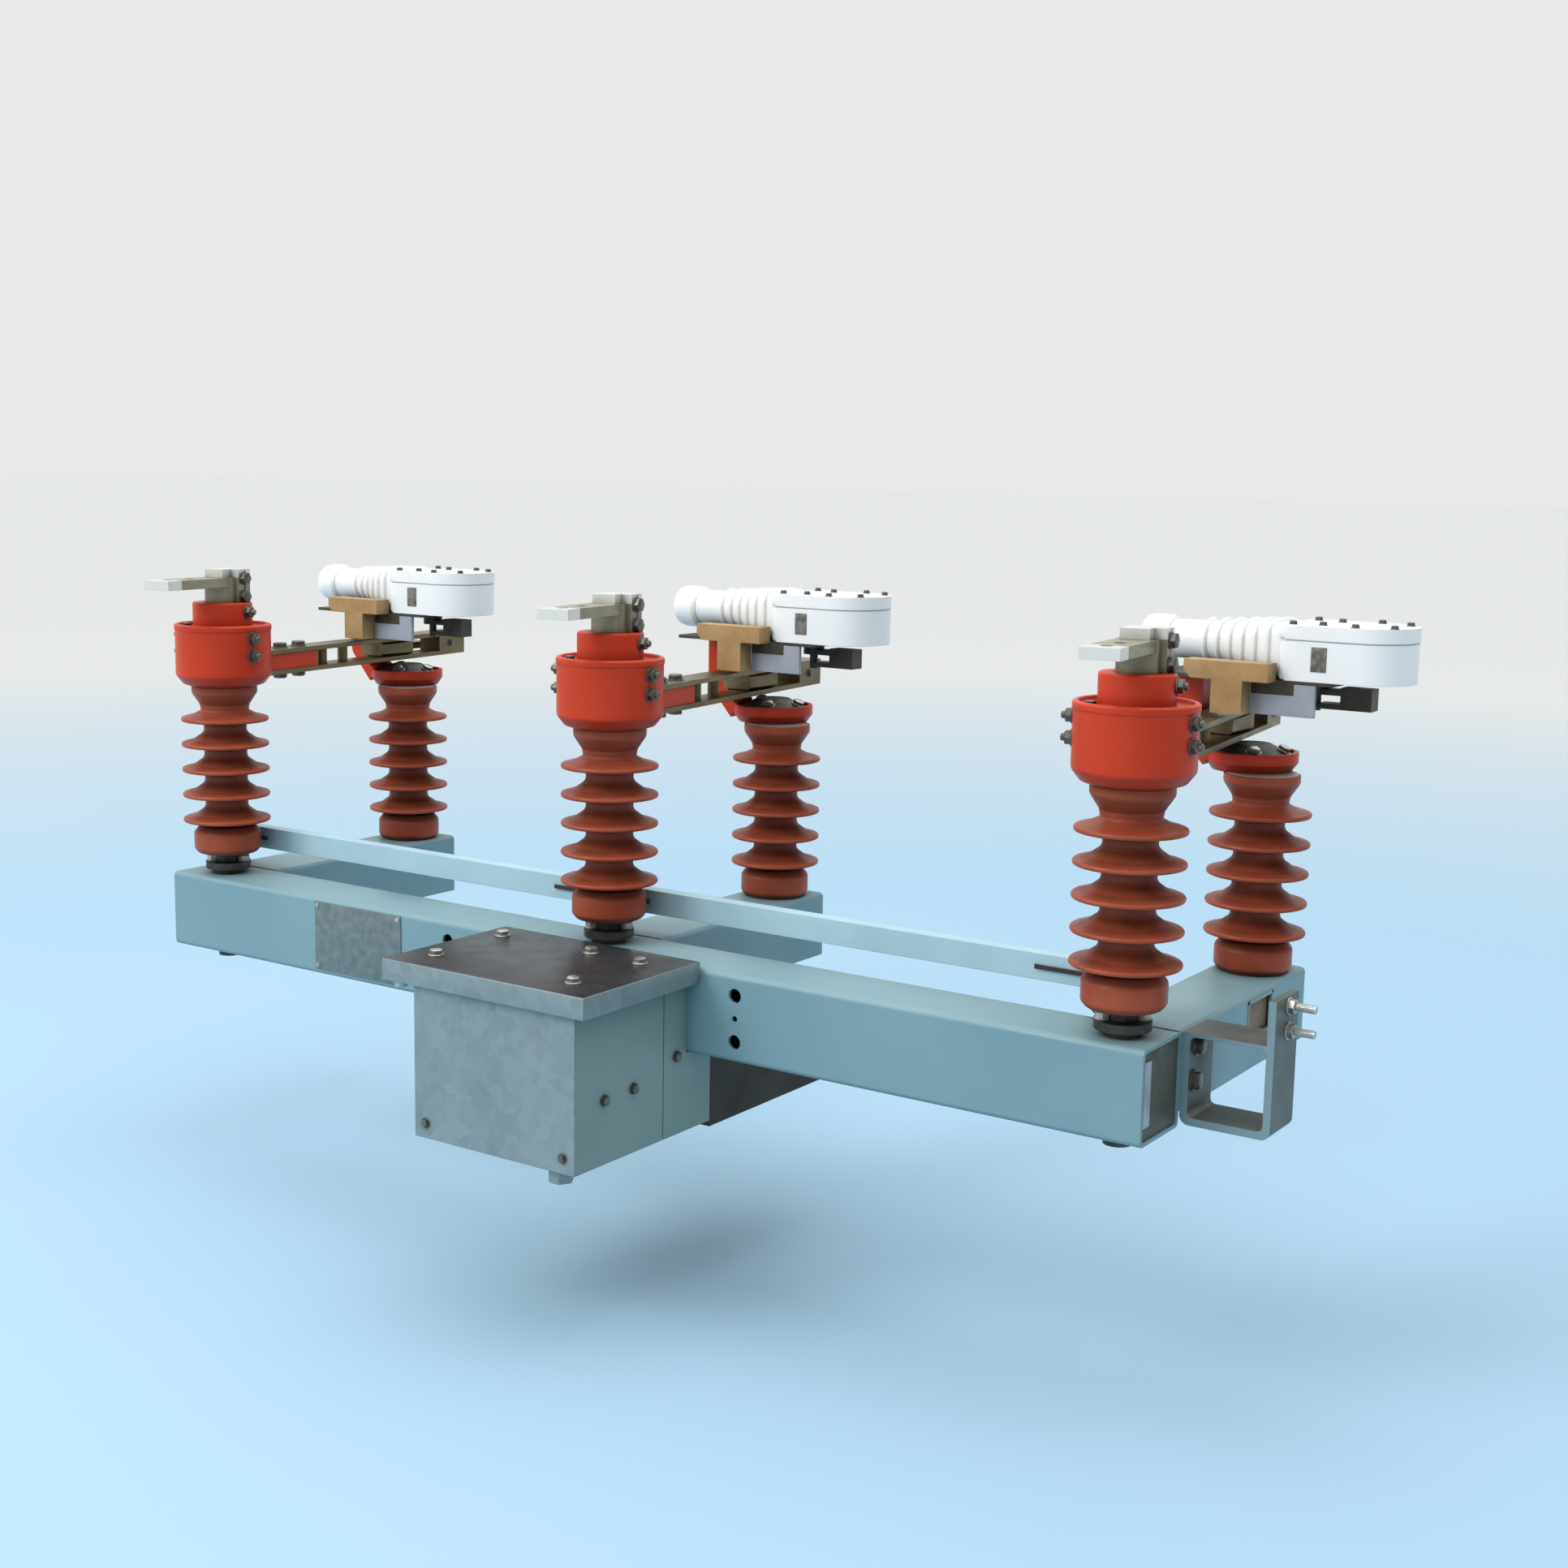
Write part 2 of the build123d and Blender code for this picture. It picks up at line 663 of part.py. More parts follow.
def trigger(x):
    """Forked trigger lever on its pivot below the tray."""
    top = trigger_level + trigger_height
    px = x + trigger_pivot_x
    y0 = trigger_pivot_y - trigger_width / 2
    y1 = trigger_pivot_y + trigger_width / 2
    right = x + trigger_right
    prong_top = top - trigger_arm_drop
    lever = rod(px, trigger_pivot_y, prong_top - trigger_prong, support_top - seat_gap,
                trigger_hub_radius)
    lever += block(px, right, y0, y1, prong_top - trigger_prong, prong_top)
    lever += block(right - trigger_block_length, right, y0, y1, trigger_level, top)
    lever += block(right - trigger_block_length - trigger_lower_prong, right, y0, y1,
                   trigger_level, trigger_level + trigger_prong)
    lever -= rod(px, trigger_pivot_y, trigger_level - 1, support_top + 1,
                 trigger_pin_radius + trigger_pin_clearance)
    return lever


def shaft_pocket():
    """Room for the middle shaft's lower end inside the drive."""
    return rod(0, 0, -beam_height - shaft_tail - shaft_pocket_gap, -beam_height + 1,
               shaft_radius + shaft_pocket_gap)


def mechanism_box():
    """Sheet housing in front of the beam, running on under it."""
    face = outline([(-box_front, box_lip), (-beam_rear, box_lip), (-beam_rear, -beam_height),
                    (0, -beam_height), (0, -box_drop), (-box_front, -box_drop)])
    plane = Plane(origin=(box_x_left, 0, 0), x_dir=(0, 1, 0), z_dir=(1, 0, 0))
    return extrude(plane * face, box_x_right - box_x_left) - shaft_pocket()


def mechanism_cover():
    """Galvanised front cover of the mechanism box."""
    return block(box_x_left, box_x_right, -box_front - cover_thickness, -box_front, -box_drop, box_lip)


def mechanism_lid():
    """Overhanging lid with a folded skirt."""
    z1 = lid_top
    z0 = lid_top - lid_skirt
    lid = block(lid_left, lid_right, -lid_front, -beam_rear, z0, z1)
    lid -= block(lid_left + lid_sheet, lid_right - lid_sheet, -lid_front + lid_sheet, -beam_rear + 1,
                 z0 - 1, box_lip)
    return lid


def gearcase():
    """Gearcase under the beam, behind the mechanism box."""
    case = block(box_x_left, box_x_right, 0, gearcase_rear, -gearcase_drop, -beam_height)
    return case - shaft_pocket()


def cable_gland():
    """Gland nut under the mechanism box."""
    nut = Pos(gland_x, -gland_y, -box_drop - gland_height) * extrude(
        RegularPolygon(gland_radius, 6), gland_height)
    return nut - rod(gland_x, -gland_y, -box_drop - gland_height - 1,
                     -box_drop - gland_height + gland_bore_depth, gland_bore_radius)


os.makedirs("parts", exist_ok=True)
write("beam", beam())
write("beam_end_plates", beam_end_plate(-1), beam_end_plate(1))
for arm_name, arm_x, arm_side in zip(phase_names, phase_x, (-1, 0, 1)):
    write(f"cross_arm_{arm_name}", cross_arm(arm_x, arm_side))
write("mounting_bracket", mounting_bracket())
write("mounting_studs", *mounting_studs())
for phase, phase_at in zip(phase_names, phase_x):
    write(f"crank_shaft_{phase}", crank_shaft(phase_at))
    write(f"turning_insulator_{phase}", insulator(phase_at, 0, post_lift))
    write(f"hood_{phase}", hood(phase_at))
    write(f"terminal_{phase}", terminal(phase_at))
    write(f"blade_{phase}", blade(phase_at))
    write(f"blade_core_{phase}", blade_core(phase_at))
    write(f"fixed_insulator_{phase}", insulator(phase_at, row_gap, 0))
    write(f"contact_support_{phase}", contact_support(phase_at))
    write(f"interrupter_{phase}", interrupter(phase_at))
    write(f"trigger_{phase}", trigger(phase_at))
write("contact_caps", *[rear_cap(at) for at in phase_x])
write("cone_plates", *[cone_plate(at) for at in phase_x])
write("housing_trays", *[tray(at) for at in phase_x])
write("brass_brackets", *[brass_bracket(at) for at in phase_x])
write("side_plates", *[side_plate(at) for at in phase_x])
write("drive_link", drive_link())
write("mechanism_box", mechanism_box())
write("mechanism_cover", mechanism_cover())
write("mechanism_lid", mechanism_lid())
write("gearcase", gearcase())
write("cable_gland", cable_gland())
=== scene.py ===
import logging
import math
from dataclasses import dataclass, field, replace
from enum import Enum
from typing import Sequence

import bmesh
import bpy
from mathutils import Matrix, Vector


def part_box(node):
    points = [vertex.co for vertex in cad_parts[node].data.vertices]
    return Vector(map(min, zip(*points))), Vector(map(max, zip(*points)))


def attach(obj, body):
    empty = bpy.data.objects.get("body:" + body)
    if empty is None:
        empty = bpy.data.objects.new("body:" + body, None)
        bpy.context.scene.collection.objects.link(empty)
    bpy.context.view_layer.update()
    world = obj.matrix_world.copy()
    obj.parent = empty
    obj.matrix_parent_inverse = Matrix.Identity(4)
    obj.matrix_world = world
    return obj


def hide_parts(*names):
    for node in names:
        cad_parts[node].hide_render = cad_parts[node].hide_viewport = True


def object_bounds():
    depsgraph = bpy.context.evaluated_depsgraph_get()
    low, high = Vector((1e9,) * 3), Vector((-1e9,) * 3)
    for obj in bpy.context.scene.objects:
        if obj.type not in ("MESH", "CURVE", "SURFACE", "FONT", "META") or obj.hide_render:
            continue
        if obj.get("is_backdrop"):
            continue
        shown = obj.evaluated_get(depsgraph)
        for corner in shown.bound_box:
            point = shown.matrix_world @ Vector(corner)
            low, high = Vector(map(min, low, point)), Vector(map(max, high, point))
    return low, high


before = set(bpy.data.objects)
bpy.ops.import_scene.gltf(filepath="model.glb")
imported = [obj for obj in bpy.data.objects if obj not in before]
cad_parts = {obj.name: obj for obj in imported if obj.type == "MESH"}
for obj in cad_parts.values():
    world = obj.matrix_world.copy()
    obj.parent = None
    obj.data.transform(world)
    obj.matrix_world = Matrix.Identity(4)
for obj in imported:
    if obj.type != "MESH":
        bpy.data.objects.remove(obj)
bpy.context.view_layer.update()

LOG = logging.getLogger("load_break_switch")
MM = 0.001
BLADE_ANGLE = 7.2
UP, DOWN, FORWARD, RIGHTWARD = (0, 0, 1), (0, 0, -1), (0, -1, 0), (1, 0, 0)

# Meshes
CORNER_STEPS = 5
CORNER_SHARE = 0.49
BEVEL_SEGMENTS = 2
BEVEL_PROFILE = 0.6
ON_AXIS = 1e-6
INSULATOR_SIDES = 96
HOOD_SIDES = 112
TUBE_SIDES = 64
WASHER_SIDES = 28
THREAD_SIDES = 20
STUD_SIDES = 16
HEXAGON = 6
SHEET_EDGE, THIN_EDGE, FINE_EDGE = 0.9, 0.6, 0.4

# Materials
SAMPLES = 4
RANGE_SOCKETS = ("Value", "From Min", "From Max", "To Min", "To Max")
MIX_AMOUNT, MIX_FIRST, MIX_SECOND, MIX_RESULT = 0, 6, 7, 2
GRAIN_LAYERS = 3.0
PATCH_LAYERS = 5.0
CLOUD_LAYERS = 6.0
CORNER_OPENNESS = (0.9, 0.35)
EDGE_TURN = (0.97, 0.8)
CLOUD_SHARE = 0.4
CLOUD_BAND = (0.3, 0.7)
PATCH_BAND = (0.35, 0.65)
WEAR_BAND = (0.42, 0.62)
DUST_BAND = (0.35, 0.7)
DUST_LOW = 0.3
DUST_COLOUR = (0.52, 0.49, 0.44)
UPWARD = (0.3, 1.0)
DOWNWARD = (-0.15, -0.9)
DIRT_ROUGHNESS = 0.15
FAR = 1.0


class Phase(Enum):
    """The three phases, by the side of the beam on which they stand."""

    LEFT = "left"
    CENTRE = "centre"
    RIGHT = "right"

    @property
    def post(self) -> str:
        """Name the body of the phase's turning post."""
        return f"turning_post_{self.value}"


class Row(Enum):
    """The two rows of posts."""

    TURNING = "turning"
    FIXED = "fixed"


class Slot(Enum):
    """Material slots of the record."""

    GREEN_PAINT = "green_paint"
    GREY_PAINT = "grey_paint"
    RED_PAINT = "red_paint"
    RED_SILICONE = "red_silicone"
    GALVANISED = "galvanised"
    PLATED = "plated"
    BRASS = "brass"
    WHITE_RESIN = "white_resin"
    DARK_STEEL = "dark_steel"
    GREY_PLATE = "grey_plate"


Colour = tuple[float, float, float]
Point = tuple[float, float, float]
Span = tuple[float, float]
Profile = Sequence[tuple[float, ...]]
Socket = bpy.types.NodeSocket
Inputs = dict[str | int, object]
Ring = Sequence[bmesh.types.BMVert]


class Layout:
    """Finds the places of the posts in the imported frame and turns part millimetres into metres."""

    def __init__(self) -> None:
        """Read the middle post's axis and the beam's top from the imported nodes."""
        post_low, post_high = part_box("turning_insulator_centre")
        rear_low, rear_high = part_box("fixed_insulator_centre")
        side_low, side_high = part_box("turning_insulator_right")
        beam_low, beam_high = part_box("beam")
        middle = (post_low + post_high) / 2
        self.origin = Vector((middle.x, middle.y, beam_high.z))
        self.row_gap = (rear_low.y + rear_high.y) / 2 / MM - self.origin.y / MM
        self.pitch = (side_low.x + side_high.x) / 2 / MM - self.origin.x / MM
        self.post_base = (post_low.z - beam_high.z) / MM
        self.post_top = (post_high.z - beam_high.z) / MM
        self.cap_base = (rear_high.z - beam_high.z) / MM

    def matrix(self, phase: Phase = Phase.CENTRE, y: float = 0.0, z: float = 0.0,
               turn: float = 0.0) -> Matrix:
        """Give the matrix that puts a shape drawn in millimetres about a phase's axis into the frame.

        Args:
            phase: The phase whose axis the shape stands on.
            y: Place from the turning posts towards the fixed posts.
            z: Height above the beam's top face.
            turn: Turn about the vertical, in degrees.

        Returns:
            The matrix with the scale to metres.
        """
        x = {Phase.LEFT: -self.pitch, Phase.CENTRE: 0.0, Phase.RIGHT: self.pitch}[phase]
        spot = Matrix.Translation(self.origin + Vector((x, y, z)) * MM)
        return spot @ Matrix.Rotation(math.radians(turn), 4, "Z") @ Matrix.Scale(MM, 4)


LAYOUT = Layout()
ALONG_X = Matrix.Rotation(math.radians(90), 4, "Y")


class Graph:
    """Builds the nodes of a material or of the room."""

    def __init__(self, owner: bpy.types.Material | bpy.types.World, shader: str = "Principled BSDF") -> None:
        """Find the shader and start the coordinates.

        Args:
            owner: The material or world that the nodes belong to.
            shader: Name of the shader that it starts with.
        """
        owner.use_nodes = True
        self.tree = owner.node_tree
        self.shader = self.tree.nodes[shader]
        self.coordinates = self.add("ShaderNodeTexCoord")
        self.place = self.coordinates.outputs["Object"]

    def feed(self, node: bpy.types.Node, inputs: Inputs) -> None:
        """Link a node's inputs to other nodes, or give them values.

        Args:
            node: The node.
            inputs: An output socket, a number, a vector or a colour for each input.
        """
        for name, value in inputs.items():
            socket = node.inputs[name]
            if isinstance(value, Socket):
                self.tree.links.new(value, socket)
            elif socket.type == "RGBA":
                socket.default_value = (*value, 1.0)
            else:
                socket.default_value = value

    def add(self, kind: str, inputs: Inputs | None = None, **settings: object) -> bpy.types.Node:
        """Add a node, set its properties and feed its inputs.

        Args:
            kind: Blender's name of the node type.
            inputs: What its inputs take.
            **settings: Properties of the node.

        Returns:
            The new node.
        """
        node = self.tree.nodes.new(kind)
        for name, value in settings.items():
            setattr(node, name, value)
        self.feed(node, inputs or {})
        return node

    def noise(self, size: float, detail: float, stretch: Point) -> Socket:
        """Make noise whose patches have a real size.

        Args:
            size: Patch size in metres.
            detail: Number of finer layers.
            stretch: How much denser the pattern is along each axis.

        Returns:
            The noise value's socket.
        """
        place = self.add("ShaderNodeMapping", {"Vector": self.place, "Scale": stretch}).outputs["Vector"]
        node = self.add("ShaderNodeTexNoise", {"Vector": place, "Scale": 1.0 / size, "Detail": detail})
        return node.outputs["Fac"]

    def spangle(self, size: float) -> Socket:
        """Make the random value of zinc crystals.

        Args:
            size: Crystal size in metres.

        Returns:
            A socket with one value for each crystal.
        """
        cells = self.add("ShaderNodeTexVoronoi", {"Vector": self.place, "Scale": 1.0 / size})
        return self.add("ShaderNodeSeparateColor", {"Color": cells.outputs["Color"]}).outputs["Red"]

    def spread(self, value: Socket, low: float, high: float, to_low: float = 0.0, to_high: float = 1.0,
               course: str = "LINEAR") -> Socket:
        """Map a range of values onto another.

        Args:
            value: The value to map.
            low: Start of its range.
            high: End of its range.
            to_low: Result at the start.
            to_high: Result at the end.
            course: Blender's name of the course between the ends.

        Returns:
            The mapped value's socket.
        """
        inputs = dict(zip(RANGE_SOCKETS, (value, low, high, to_low, to_high)))
        return self.add("ShaderNodeMapRange", inputs, interpolation_type=course).outputs["Result"]

    def math(self, operation: str, first: object, second: object) -> Socket:
        """Join two values by an operation.

        Args:
            operation: Blender's name of the operation.
            first: The first value or socket.
            second: The second value or socket.

        Returns:
            The result's socket.
        """
        return self.add("ShaderNodeMath", {0: first, 1: second}, operation=operation).outputs["Value"]

    def blend(self, amount: object, first: object, second: object) -> Socket:
        """Mix two colours.

        Args:
            amount: Share of the second colour.
            first: The first colour.
            second: The second colour.

        Returns:
            The mixed colour's socket.
        """
        inputs = {MIX_AMOUNT: amount, MIX_FIRST: first, MIX_SECOND: second}
        return self.add("ShaderNodeMix", inputs, data_type="RGBA").outputs[MIX_RESULT]

    def soft_edge(self, radius: float) -> tuple[Socket, Socket]:
        """Round the edges for the light and find where they are.

        Args:
            radius: Radius of the rounding in metres.

        Returns:
            The rounded normal and a mask that is 1 on edges.
        """
        soft = self.add("ShaderNodeBevel", {"Radius": radius}, samples=SAMPLES).outputs["Normal"]
        plain = self.add("ShaderNodeNewGeometry").outputs["Normal"]
        dot = self.add("ShaderNodeVectorMath", {0: soft, 1: plain}, operation="DOT_PRODUCT")
        return soft, self.spread(dot.outputs["Value"], *EDGE_TURN)

    def relief(self, height: Socket, depth: float, under: Socket) -> Socket:
        """Turn a height into a bump.

        Args:
            height: The height's socket.
            depth: Depth of the bump in metres.
            under: A normal that the bump lies on.

        Returns:
            The bumped normal's socket.
        """
        inputs = {"Distance": depth, "Height": height, "Normal": under}
        return self.add("ShaderNodeBump", inputs).outputs["Normal"]

    def share(self, vector: Socket, axis: str) -> Socket:
        """Give a vector's share along one axis, X, Y or Z."""
        return self.add("ShaderNodeSeparateXYZ", {0: vector}).outputs[axis]

    def facing(self, axis: str) -> Socket:
        """Give how far the surface faces along an axis, from -1 to 1."""
        return self.share(self.add("ShaderNodeNewGeometry").outputs["Normal"], axis)

    def band(self, axis: str, low: float, high: float, edge: float = 0.0002) -> Socket:
        """Give a mask that is 1 between two places on an axis of the part.

        Args:
            axis: The axis, X, Y or Z.
            low: Where the band starts, in metres.
            high: Where it ends.
            edge: Width of its soft edges.

        Returns:
            The mask's socket.
        """
        along = self.share(self.place, axis)
        over = self.spread(along, low - edge, low + edge)
        below = self.spread(along, high + edge, high - edge)
        return self.math("MULTIPLY", over, below)

    def hollow(self, reach: float) -> Socket:
        """Give a mask of painted shade, from ambient occlusion, that is 1 in hollows and corners.

        Args:
            reach: How far the painted shade reaches out of a corner, in metres.

        Returns:
            The mask's socket.
        """
        openness = self.add("ShaderNodeAmbientOcclusion", {"Distance": reach}, samples=SAMPLES).outputs["AO"]
        return self.spread(openness, *CORNER_OPENNESS)


@dataclass(frozen=True)
class Finish:
    """A finish with patches, grain, worn edges, painted shade with some dirt in its hollows and painted
    shade on its undersides, with its sizes in metres.
    """

    name: str
    slot: Slot
    colour: Colour
    patch_colour: Colour
    edge_colour: Colour
    dirt_and_shade_colour: Colour
    roughness: Span = (0.35, 0.5)
    metallic: float = 0.0
    patch: float = 0.12
    grain: float = 0.002
    grain_depth: float = 0.00006
    edge_radius: float = 0.0012
    edge_wear: float = 0.4
    dirt_and_shade: float = 0.5
    dust: float = 0.0
    painted_underside_shade: float = 0.0
    reach: float = 0.02
    dirt_and_shade_low: float = 0.4
    specular: float = 0.5
    stretch: Point = (1.0, 1.0, 1.0)

    def base(self, graph: Graph) -> Socket:
        """Make the colour before wear and dirt.

        Args:
            graph: The material's nodes.

        Returns:
            The colour's socket.
        """
        patches = graph.spread(graph.noise(self.patch, PATCH_LAYERS, self.stretch), *PATCH_BAND)
        return graph.blend(patches, self.colour, self.patch_colour)

    def make(self) -> bpy.types.Material:
        """Build the material.

        Returns:
            The finished material.
        """
        material = bpy.data.materials.new(self.name)
        graph = Graph(material)
        fine = graph.noise(self.grain, GRAIN_LAYERS, self.stretch)
        wide = graph.noise(self.patch * CLOUD_SHARE, CLOUD_LAYERS, self.stretch)
        normal, edge = graph.soft_edge(self.edge_radius)
        worn = graph.math("MULTIPLY", edge, graph.spread(wide, *WEAR_BAND, 0.0, self.edge_wear))
        colour = graph.blend(worn, self.base(graph), self.edge_colour)
        # Painted shade: ambient occlusion darkens hollows and corners, in clouds, towards the dark colour;
        # only a little of it is real dirt.
        film = graph.spread(wide, *CLOUD_BAND, self.dirt_and_shade_low, 1.0)
        corners = graph.math("MULTIPLY", graph.hollow(self.reach), film)
        colour = graph.blend(graph.math("MULTIPLY", corners, self.dirt_and_shade), colour, self.dirt_and_shade_colour)
        if self.dust:
            lying = graph.spread(graph.facing("Z"), *UPWARD, 0.0, self.dust)
            film = graph.math("MULTIPLY", lying, graph.spread(wide, *DUST_BAND, DUST_LOW, 1.0))
            colour = graph.blend(film, colour, DUST_COLOUR)
        # Painted shade: surfaces that face down are darkened towards the dark colour.
        if self.painted_underside_shade:
            below = graph.spread(graph.facing("Z"), *DOWNWARD, 0.0, self.painted_underside_shade)
            colour = graph.blend(below, colour, self.dirt_and_shade_colour)
        rough = graph.spread(wide, *CLOUD_BAND, *self.roughness)
        dull = graph.math("MULTIPLY", corners, DIRT_ROUGHNESS)
        graph.feed(graph.shader, {
            "Base Color": colour, "Roughness": graph.math("ADD", rough, dull), "Metallic": self.metallic,
            "Specular IOR Level": self.specular, "Normal": graph.relief(fine, self.grain_depth, normal)})
        return material


@dataclass(frozen=True)
class ZincFinish(Finish):
    """Galvanised steel with its crystals."""

    crystal: float = 0.012
    sparkle: float = 0.35

    def base(self, graph: Graph) -> Socket:
        """Mix the crystals into the patches.

        Args:
            graph: The material's nodes.

        Returns:
            The colour's socket.
        """
        patches = graph.spread(graph.noise(self.patch, PATCH_LAYERS, self.stretch), *CLOUD_BAND)
        crystals = graph.spread(graph.spangle(self.crystal), 0.0, 1.0, 0.0, self.sparkle)
        plain = graph.blend(patches, self.colour, self.patch_colour)
        return graph.blend(crystals, plain, self.edge_colour)


@dataclass(frozen=True)
class TerminalFinish(Finish):
    """Plated metal whose pad tip and clamp block are tinned."""

    tip: float = -92.0
    clamp: float = 391.6
    tin_colour: Colour = (0.74, 0.74, 0.71)
    tin_edge: float = 0.0006

    def base(self, graph: Graph) -> Socket:
        """Lay the tin over the tip and the block.

        Args:
            graph: The material's nodes.

        Returns:
            The colour's socket.
        """
        plain = super().base(graph)
        tip = LAYOUT.origin.y + self.tip * MM
        clamp = LAYOUT.origin.z + self.clamp * MM
        at_tip = graph.band("Y", tip - FAR, tip, self.tin_edge)
        on_top = graph.band("Z", clamp, clamp + FAR)
        return graph.blend(graph.math("MAXIMUM", at_tip, on_top), plain, self.tin_colour)


@dataclass(frozen=True)
class FrontLitFinish(Finish):
    """Paint drawn as a dark, shaded copy, with a lighter painted-lit copy on what faces the front."""

    painted_lit_front_colour: Colour = (0.19, 0.28, 0.31)
    forward: Span = (-0.6, -0.95)

    def base(self, graph: Graph) -> Socket:
        """Lay the lighter, painted-lit colour on what faces the front.

        Args:
            graph: The material's nodes.

        Returns:
            The colour's socket.
        """
        front = graph.spread(graph.facing("Y"), *self.forward)
        return graph.blend(front, super().base(graph), self.painted_lit_front_colour)


@dataclass(frozen=True)
class LinkFinish(Finish):
    """Galvanised link whose lugs are drawn near black where they stand in front of its web."""

    lug: Span = (37.9, 43.1)
    web: float = 50.5
    lug_colour: Colour = (0.035, 0.025, 0.022)

    def base(self, graph: Graph) -> Socket:
        """Darken the lugs.

        Args:
            graph: The material's nodes.

        Returns:
            The colour's socket.
        """
        plain = super().base(graph)
        low, high = (LAYOUT.origin.z + level * MM for level in self.lug)
        front = LAYOUT.origin.y + self.web * MM
        in_height, behind_web = graph.band("Z", low, high), graph.band("Y", front - FAR, front)
        lugs = graph.math("MULTIPLY", in_height, behind_web)
        return graph.blend(lugs, plain, self.lug_colour)


# In the finishes below, the amounts for hollows and undersides set painted shade; in the hollows a little of
# it is real dirt.
GREEN = Finish("blue_green_paint", Slot.GREEN_PAINT, (0.168, 0.296, 0.342), (0.192, 0.322, 0.368),
               (0.34, 0.46, 0.49), (0.035, 0.050, 0.050), roughness=(0.34, 0.52), patch=0.18, dust=0.06,
               painted_underside_shade=0.35, specular=0.4)
BOX_GREEN = replace(GREEN, name="grey_green_paint", colour=(0.176, 0.272, 0.262),
                    patch_colour=(0.202, 0.298, 0.285))
# Painted shade: the bracket's green is drawn dark for the shade on its right side, with painted light on
# what faces the front.
BRACKET = FrontLitFinish("shaded_bracket_paint", Slot.GREEN_PAINT, (0.080, 0.096, 0.090), (0.104, 0.124, 0.117),
                     (0.24, 0.32, 0.33), (0.022, 0.030, 0.030), roughness=(0.36, 0.54), patch=0.08,
                     dust=0.05, painted_underside_shade=0.35, specular=0.4)
# Painted shade: the end plates get a dark copy of the beam's green for the shade on the beam's end faces.
SHADED_END_PAINT = Finish("painted_shade_end_paint", Slot.GREEN_PAINT, (0.070, 0.074, 0.057), (0.088, 0.092, 0.072),
                   (0.20, 0.25, 0.23), (0.014, 0.018, 0.014), roughness=(0.4, 0.6), patch=0.05, specular=0.4)
SILICONE = Finish("silicone_rubber", Slot.RED_SILICONE, (0.305, 0.058, 0.027), (0.36, 0.075, 0.035),
                  (0.40, 0.12, 0.07), (0.040, 0.015, 0.010), roughness=(0.30, 0.44), patch=0.06,
                  grain_depth=0.00003, edge_wear=0.10, dirt_and_shade=0.8, painted_underside_shade=0.45, reach=0.045,
                  dirt_and_shade_low=0.5, specular=0.2)
RED = Finish("red_moulding", Slot.RED_PAINT, (0.50, 0.036, 0.0105), (0.55, 0.043, 0.0135),
             (0.62, 0.12, 0.07), (0.08, 0.010, 0.006), roughness=(0.30, 0.42), patch=0.10,
             grain_depth=0.00004, edge_wear=0.2, dirt_and_shade=0.7, painted_underside_shade=0.5, specular=0.2)
ZINC = ZincFinish("galvanised_steel", Slot.GALVANISED, (0.185, 0.243, 0.256), (0.235, 0.293, 0.307),
                  (0.31, 0.39, 0.415), (0.06, 0.07, 0.07), roughness=(0.36, 0.52), metallic=0.35,
                  patch=0.08, grain_depth=0.00003, painted_underside_shade=0.3)
LINK = LinkFinish("galvanised_link", Slot.GALVANISED, (0.36, 0.53, 0.62), (0.42, 0.60, 0.69),
                  (0.60, 0.74, 0.80), (0.10, 0.13, 0.14), roughness=(0.40, 0.55), metallic=0.1,
                  patch=0.10, grain_depth=0.00003, painted_underside_shade=0.6, specular=0.4)
OILED = Finish("oiled_steel", Slot.GALVANISED, (0.045, 0.042, 0.037), (0.080, 0.073, 0.063),
               (0.24, 0.23, 0.20), (0.016, 0.014, 0.011), roughness=(0.32, 0.48), metallic=0.6,
               patch=0.03, edge_radius=0.0008)
BOLT = Finish("zinc_plated_bolts", Slot.GALVANISED, (0.44, 0.44, 0.41), (0.56, 0.56, 0.53),
              (0.78, 0.78, 0.76), (0.04, 0.036, 0.03), roughness=(0.22, 0.38), metallic=0.85,
              patch=0.01, edge_radius=0.0004, dirt_and_shade=0.9)
DARK_BOLT = Finish("weathered_bolts", Slot.GALVANISED, (0.12, 0.112, 0.095), (0.19, 0.18, 0.16),
                   (0.45, 0.44, 0.40), (0.018, 0.016, 0.013), roughness=(0.26, 0.44), metallic=0.85,
                   patch=0.008, edge_radius=0.0005, dirt_and_shade=0.9)
STEM = TerminalFinish("plated_terminal", Slot.PLATED, (0.25, 0.225, 0.15), (0.34, 0.31, 0.22),
                      (0.66, 0.64, 0.56), (0.04, 0.034, 0.02), roughness=(0.24, 0.38), metallic=0.6,
                      patch=0.06, grain=0.001, grain_depth=0.00003, edge_radius=0.0008, dirt_and_shade=0.8, painted_underside_shade=0.4)
TARNISHED = Finish("tarnished_copper", Slot.PLATED, (0.15, 0.106, 0.052), (0.22, 0.160, 0.084),
                   (0.42, 0.37, 0.28), (0.022, 0.018, 0.011), roughness=(0.28, 0.46), metallic=0.7,
                   patch=0.03, grain=0.001, edge_radius=0.0009, dirt_and_shade=0.8, stretch=(1.0, 0.3, 1.0), painted_underside_shade=0.4)
TINNED = Finish("tinned_copper", Slot.PLATED, (0.58, 0.58, 0.55), (0.66, 0.66, 0.63),
                (0.82, 0.82, 0.80), (0.20, 0.18, 0.12), roughness=(0.3, 0.45), metallic=0.4,
                patch=0.03, grain=0.001, edge_radius=0.0008)
